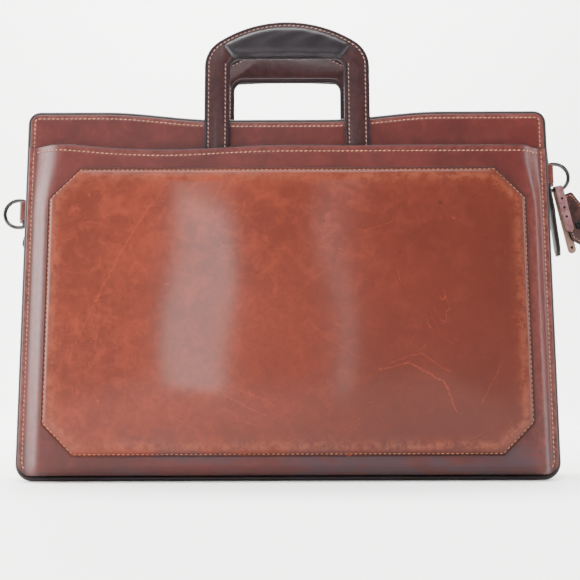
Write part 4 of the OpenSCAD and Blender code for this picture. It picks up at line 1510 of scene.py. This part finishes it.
def make_tab(name, node, body, kind, corner):
    """A flat leather tab that fills the box of its CAD node, with round corners and stitches."""
    lo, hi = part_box(node)
    bm = bmesh.new()
    size = Matrix.Diagonal((*(hi - lo), 1))
    bmesh.ops.create_cube(bm, size=1.0, matrix=Matrix.Translation((lo + hi) / 2) @ size)
    corners = [e for e in bm.edges if abs(e.verts[0].co.z - e.verts[1].co.z) > 1e-6]
    bmesh.ops.bevel(bm, geom=corners, affect="EDGES", offset=corner, segments=4, profile=0.5, material=-1)
    rims = [e for e in bm.edges if abs(e.verts[0].co.z - e.verts[1].co.z) < 1e-7]
    bmesh.ops.bevel(bm, geom=rims, affect="EDGES", offset=0.5 * MM, segments=2, profile=0.5, material=-1)
    for f in bm.faces:
        f.material_index = 0 if abs(f.normal.z) > 0.98 else 1
    piece(name, bm, [kind, "edge"], body, [node], lambda co: 0.4)
    bm = bmesh.new()
    inset = 1.5 * MM
    x0, x1, y0, y1 = lo.x + inset, hi.x - inset, lo.y + inset, hi.y - inset
    for z, out in ((lo.z, -1), (hi.z, 1)):
        line = [Vector((x, y, z)) for x, y in ((x0, y0), (x1, y0), (x1, y1), (x0, y1))]
        stitch_run(bm, line, (0, 0, out), 2.4 * MM, 1.7 * MM, 0.55 * MM, closed=True)
    piece(name + "_stitches", bm, "thread", body)


# ---------------------------------------------------------------- inside


def make_lining(rear):
    """The lining of a wall: cloth with soft ripples."""
    name = side_name(rear)
    lo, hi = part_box("front_lining")
    xs = spaced(lo.x, hi.x, [0, 2 * MM], 10 * MM)
    zs = spaced(lo.z, hi.z, [0, 2 * MM], 10 * MM)
    bm = grid(xs, zs)
    for v in bm.verts:
        ripple = 0.25 * MM * math.sin(v.co.x / (17 * MM) + 1.5 * math.sin(v.co.z / (40 * MM)))
        v.co.y = -(-hi.y + 0.3 * MM + ripple)
    bmesh.ops.reverse_faces(bm, faces=bm.faces)
    thicken(bm, 0.4 * MM)
    if rear:
        to_rear(bm)
    cloth_piece = piece(name + "_lining_cloth", bm, "lining", side_body(rear), [name + "_lining"])


def make_inner_pocket():
    """The open pocket sewn to the rear lining."""
    lo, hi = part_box("inner_pocket")
    xs = spaced(lo.x, hi.x, [0, 2 * MM, 4 * MM], 9 * MM)
    zs = spaced(lo.z, hi.z, [0, 2 * MM, 4 * MM, 8 * MM], 9 * MM)
    bm = grid(xs, zs)

    def face_y(x, z):
        free = smooth((x - lo.x) / 0.03) * smooth((hi.x - x) / 0.03) * smooth((z - lo.z) / 0.05)
        fold = 0.15 * MM * math.sin(x / (13 * MM) + 1.2 * math.sin(z / (30 * MM)))
        hem = 0.15 * MM * (1.0 - smooth((hi.z - z - 7 * MM) / (1 * MM)))
        return hi.y - 0.6 * MM - (0.6 * MM + fold) * free - hem

    for v in bm.verts:
        v.co.y = face_y(v.co.x, v.co.z)
    thicken(bm, 0.4 * MM)
    sheet = piece("inner_pocket_cloth", bm, "lining", "case", ["inner_pocket"])
    inset = 2.5 * MM
    corners = [(lo.x + inset, hi.z), (lo.x + inset, lo.z + inset), (hi.x - inset, lo.z + inset), (hi.x - inset, hi.z)]
    hem = [(lo.x + inset + (hi.x - lo.x - 2 * inset) * i / 40, hi.z - 7 * MM) for i in range(41)]
    at, whole = along([Vector((x, 0, z)) for x, z in corners])
    sides = [at(whole * i / 90) for i in range(91)]
    bm = bmesh.new()
    for line in (sides, [Vector((x, 0, z)) for x, z in hem]):
        points = [Vector((p.x, face_y(p.x, p.z), p.z)) for p in line]
        stitch_run(bm, points, (0, -1, 0), 3.0 * MM, 2.2 * MM, 0.5 * MM)
    piece("inner_pocket_stitches", bm, "thread", "case")


# ---------------------------------------------------------------- stage


def area_light(name, place, aim, width, height, power, color=(1, 1, 1)):
    """A soft rectangular light that faces a point."""
    data = bpy.data.lights.new(name, "AREA")
    data.shape, data.size, data.size_y, data.energy, data.color = "RECTANGLE", width, height, power, color
    obj = bpy.data.objects.new(name, data)
    obj.location = place
    obj.rotation_euler = (Vector(aim) - Vector(place)).to_track_quat("-Z", "Y").to_euler()
    bpy.context.scene.collection.objects.link(obj)


LENS = 46.55
CAMERA_PLACE = Vector((1.7, -625.1, 79.9)) * MM
CAMERA_TILT, CAMERA_ROLL = math.radians(6.75), math.radians(0.18)
FLOOR_COLOUR = (0.88, 0.87, 0.85, 1)


def make_stage():
    """A pale floor that curves up into a backdrop, soft lights and the camera."""
    bm = bmesh.new()
    path = [Vector((0, -3.0, 0)), Vector((0, 1.4, 0))]
    bend = [math.radians(a) for a in range(10, 91, 10)]
    path += [Vector((0, 1.4 + 0.8 * math.sin(a), 0.8 - 0.8 * math.cos(a))) for a in bend]
    path += [Vector((0, 2.2, 3.5))]
    first = [bm.verts.new(p + Vector((s * 3.5, 0, 0))) for p in path[:1] for s in (-1, 1)]
    edge = bm.edges.new(first)
    for a, b in zip(path, path[1:]):
        made = bmesh.ops.extrude_edge_only(bm, edges=[edge])["geom"]
        new = [g for g in made if isinstance(g, bmesh.types.BMVert)]
        bmesh.ops.translate(bm, verts=new, vec=b - a)
        edge = next(g for g in made if isinstance(g, bmesh.types.BMEdge) and all(v in new for v in g.verts))
    bmesh.ops.recalc_face_normals(bm, faces=bm.faces)
    mesh = bpy.data.meshes.new("floor")
    bm.to_mesh(mesh)
    bm.free()
    material, _, shader, _ = blank_material("pale floor")
    shader.inputs["Base Color"].default_value = FLOOR_COLOUR
    shader.inputs["Roughness"].default_value = 0.7
    mesh.materials.append(material)
    mesh.shade_smooth()
    floor = bpy.data.objects.new("floor", mesh)
    bpy.context.scene.collection.objects.link(floor)

    lights = bpy.context.scene.briefcase_light
    area_light("overhead", (-0.3, -0.5, 2.4), (0, -0.1, 0), 2.6, 1.6, lights.overhead)
    area_light("backdrop", (0.0, 0.6, 2.6), (0, 2.2, 0.6), 4.5, 0.8, lights.backdrop)
    area_light("front fill", (-0.9, -2.2, 2.0), (0, 0, 0.15), 1.6, 1.0, lights.fill, (1.0, 0.97, 0.94))
    area_light("strip left", (-0.215, -1.2, 0.29), (-0.215, 0, 0.29), 0.04, 0.57, lights.strip)
    area_light("strip right", (0.13, -1.2, 0.29), (0.13, 0, 0.29), 0.03, 0.57, lights.strip * 0.3)
    area_light("side left", (-2.0, -0.35, 0.6), (0, 0, 0.15), 1.8, 1.2, lights.side)
    area_light("side right", (2.0, -0.6, 0.6), (0, 0, 0.15), 0.9, 1.4, lights.side * 0.4, (0.92, 0.95, 1.0))

    world = bpy.data.worlds.new("pale surroundings")
    world.use_nodes = True
    tree, lit = world.node_tree, world.node_tree.nodes["Background"]
    lit.inputs["Color"].default_value = (0.95, 0.97, 1.0, 1)
    lit.inputs["Strength"].default_value = lights.world
    seen = tree.nodes.new("ShaderNodeBackground")
    seen.inputs["Strength"].default_value = 3.0
    mix = tree.nodes.new("ShaderNodeMixShader")
    put(tree, mix.inputs[0], tree.nodes.new("ShaderNodeLightPath").outputs["Is Camera Ray"])
    put(tree, mix.inputs[1], lit.outputs[0])
    put(tree, mix.inputs[2], seen.outputs[0])
    put(tree, tree.nodes["World Output"].inputs["Surface"], mix.outputs[0])
    bpy.context.scene.world = world

    data = bpy.data.cameras.new("camera")
    data.lens = LENS
    data.sensor_width = 36.0
    camera = bpy.data.objects.new("camera", data)
    camera.location = CAMERA_PLACE
    camera.rotation_euler = (math.pi / 2 + CAMERA_TILT, CAMERA_ROLL, 0)
    bpy.context.scene.collection.objects.link(camera)
    bpy.context.scene.camera = camera


# ---------------------------------------------------------------- properties


class BriefcaseSizes(bpy.types.PropertyGroup):
    """Sizes of the sewn and metal details."""

    stitch_pitch: FloatProperty(
        name="Stitch pitch", description="Distance from stitch to stitch", default=3.75 * MM, unit="LENGTH",
    )
    stitch_length: FloatProperty(
        name="Stitch length", description="Length of thread that shows", default=2.7 * MM, unit="LENGTH",
    )
    thread_width: FloatProperty(
        name="Thread width", description="Thickness of the thread", default=0.85 * MM, unit="LENGTH",
    )
    tooth_pitch: FloatProperty(
        name="Tooth pitch", description="Distance between zip teeth", default=2.8 * MM, unit="LENGTH",
    )


class BriefcaseColours(bpy.types.PropertyGroup):
    """Colours of the leathers, cloth and thread."""

    centre: FloatVectorProperty(
        name="Centre panel", description="Leather of the raised panel",
        subtype="COLOR", default=(0.098, 0.0130, 0.0045),
    )
    border: FloatVectorProperty(
        name="Case", description="Leather of the walls and pockets",
        subtype="COLOR", default=(0.048, 0.0060, 0.0045),
    )
    handle: FloatVectorProperty(
        name="Handles", description="Leather of the handle straps",
        subtype="COLOR", default=(0.012, 0.0022, 0.0026),
    )
    grip: FloatVectorProperty(
        name="Grips", description="Hand-worn leather of the grips",
        subtype="COLOR", default=(0.0055, 0.0035, 0.0050),
    )
    piping: FloatVectorProperty(
        name="Piping", description="Leather of the piping and tails",
        subtype="COLOR", default=(0.010, 0.006, 0.006),
    )
    tag: FloatVectorProperty(
        name="Tag", description="Leather of the tag",
        subtype="COLOR", default=(0.014, 0.004, 0.004),
    )
    strap: FloatVectorProperty(
        name="Tag strap", description="Faded leather of the tag's strap",
        subtype="COLOR", default=(0.11, 0.045, 0.050),
    )
    lining: FloatVectorProperty(
        name="Lining", description="Lining cloth",
        subtype="COLOR", default=(0.14, 0.09, 0.06),
    )
    thread: FloatVectorProperty(
        name="Thread", description="Sewing thread",
        subtype="COLOR", default=(0.34, 0.135, 0.062),
    )


class BriefcaseLight(bpy.types.PropertyGroup):
    """Strengths of the studio lights."""

    overhead: FloatProperty(
        name="Overhead", description="Power of the overhead light", default=190.0, unit="POWER",
    )
    backdrop: FloatProperty(
        name="Backdrop", description="Power of the light on the backdrop", default=330.0, unit="POWER",
    )
    fill: FloatProperty(name="Front fill", description="Power of the front light", default=24.0, unit="POWER")
    strip: FloatProperty(name="Strips", description="Power of the tall strip lights", default=3.4, unit="POWER")
    side: FloatProperty(name="Side", description="Power of the side light", default=140.0, unit="POWER")
    world: FloatProperty(name="Surroundings", description="Strength of the surroundings", default=0.25)


# ---------------------------------------------------------------- operators


class BRIEFCASE_OT_walls(bpy.types.Operator):
    """Build the leather of the two walls and their stitches"""

    bl_idname = "briefcase.walls"
    bl_label = "Walls"

    def execute(self, context):
        for rear in (False, True):
            make_wall(rear)
        return {"FINISHED"}


class BRIEFCASE_OT_pockets(bpy.types.Operator):
    """Build the slip pockets and their stitches"""

    bl_idname = "briefcase.pockets"
    bl_label = "Pockets"

    def execute(self, context):
        for rear in (False, True):
            make_pocket(rear)
        return {"FINISHED"}


class BRIEFCASE_OT_centre_panel(bpy.types.Operator):
    """Build the padded centre panel and its stitches"""

    bl_idname = "briefcase.centre_panel"
    bl_label = "Centre panel"

    def execute(self, context):
        make_centre_panel()
        return {"FINISHED"}


class BRIEFCASE_OT_piping(bpy.types.Operator):
    """Build the piping round both walls"""

    bl_idname = "briefcase.piping"
    bl_label = "Piping"

    def execute(self, context):
        for rear in (False, True):
            make_piping(rear)
        return {"FINISHED"}


class BRIEFCASE_OT_handles(bpy.types.Operator):
    """Build both drop handles and the keepers that guide them"""

    bl_idname = "briefcase.handles"
    bl_label = "Handles"

    def execute(self, context):
        for rear in (False, True):
            make_handle(rear)
        finish_nodes(["front_handle_keepers", "rear_handle_keepers"], "border")
        return {"FINISHED"}


class BRIEFCASE_OT_gussets(bpy.types.Operator):
    """Build the side gussets and the base"""

    bl_idname = "briefcase.gussets"
    bl_label = "Gussets and base"

    def execute(self, context):
        for left in (False, True):
            make_side_gusset(left)
        make_base()
        return {"FINISHED"}


class BRIEFCASE_OT_zip(bpy.types.Operator):
    """Build the zip across the top and its slider"""

    bl_idname = "briefcase.zip"
    bl_label = "Zip"

    def execute(self, context):
        make_zip()
        finish_nodes(["zip_slider", "zip_pull_plate"], "brass")
        make_tab("pull_tab_leather", "zip_pull_tab", "zip_pull", "border", 2 * MM)
        return {"FINISHED"}


class BRIEFCASE_OT_sides(bpy.types.Operator):
    """Build the zip tails, the rings and the straps that hold them"""

    bl_idname = "briefcase.sides"
    bl_label = "Tails and rings"

    def execute(self, context):
        for left in (False, True):
            make_tail(left)
            make_ring_strap(left)
        finish_nodes(["left_d_ring", "right_d_ring", "tag_snap"], "nickel")
        make_tag_strap()
        make_tag_plate()
        return {"FINISHED"}


class BRIEFCASE_OT_inside(bpy.types.Operator):
    """Build the lining, the boards and the inner pocket"""

    bl_idname = "briefcase.inside"
    bl_label = "Inside"

    def execute(self, context):
        for rear in (False, True):
            make_lining(rear)
        finish_nodes(["front_board", "rear_board"], "board")
        make_inner_pocket()
        return {"FINISHED"}


class BRIEFCASE_OT_stage(bpy.types.Operator):
    """Set up the floor, the lights and the camera"""

    bl_idname = "briefcase.stage"
    bl_label = "Stage"

    def execute(self, context):
        make_stage()
        return {"FINISHED"}


OPERATORS = (
    BRIEFCASE_OT_walls, BRIEFCASE_OT_pockets, BRIEFCASE_OT_centre_panel, BRIEFCASE_OT_piping,
    BRIEFCASE_OT_handles, BRIEFCASE_OT_gussets, BRIEFCASE_OT_zip, BRIEFCASE_OT_sides,
    BRIEFCASE_OT_inside, BRIEFCASE_OT_stage,
)
GROUPS = {"briefcase_sizes": BriefcaseSizes, "briefcase_colours": BriefcaseColours, "briefcase_light": BriefcaseLight}


class BRIEFCASE_PT_panel(bpy.types.Panel):
    """Lists the sizes, the colours and the pieces of the briefcase"""

    bl_idname = "BRIEFCASE_PT_panel"
    bl_label = "Briefcase"
    bl_space_type = "VIEW_3D"
    bl_region_type = "UI"
    bl_category = "Briefcase"

    def draw(self, context):
        for label, group in GROUPS.items():
            for prop in group.__annotations__:
                self.layout.prop(getattr(context.scene, label), prop)
        for operator in OPERATORS:
            self.layout.operator(operator.bl_idname)


def register():
    for cls in (*GROUPS.values(), *OPERATORS, BRIEFCASE_PT_panel):
        bpy.utils.register_class(cls)
    for label, group in GROUPS.items():
        setattr(bpy.types.Scene, label, PointerProperty(type=group))


def unregister():
    for label in GROUPS:
        delattr(bpy.types.Scene, label)
    for cls in reversed((*GROUPS.values(), *OPERATORS, BRIEFCASE_PT_panel)):
        bpy.utils.unregister_class(cls)


def main():
    """Builds every piece and the stage."""
    register()
    for operator in OPERATORS:
        group, name = operator.bl_idname.split(".")
        getattr(getattr(bpy.ops, group), name)()


if __name__ == "__main__":
    main()
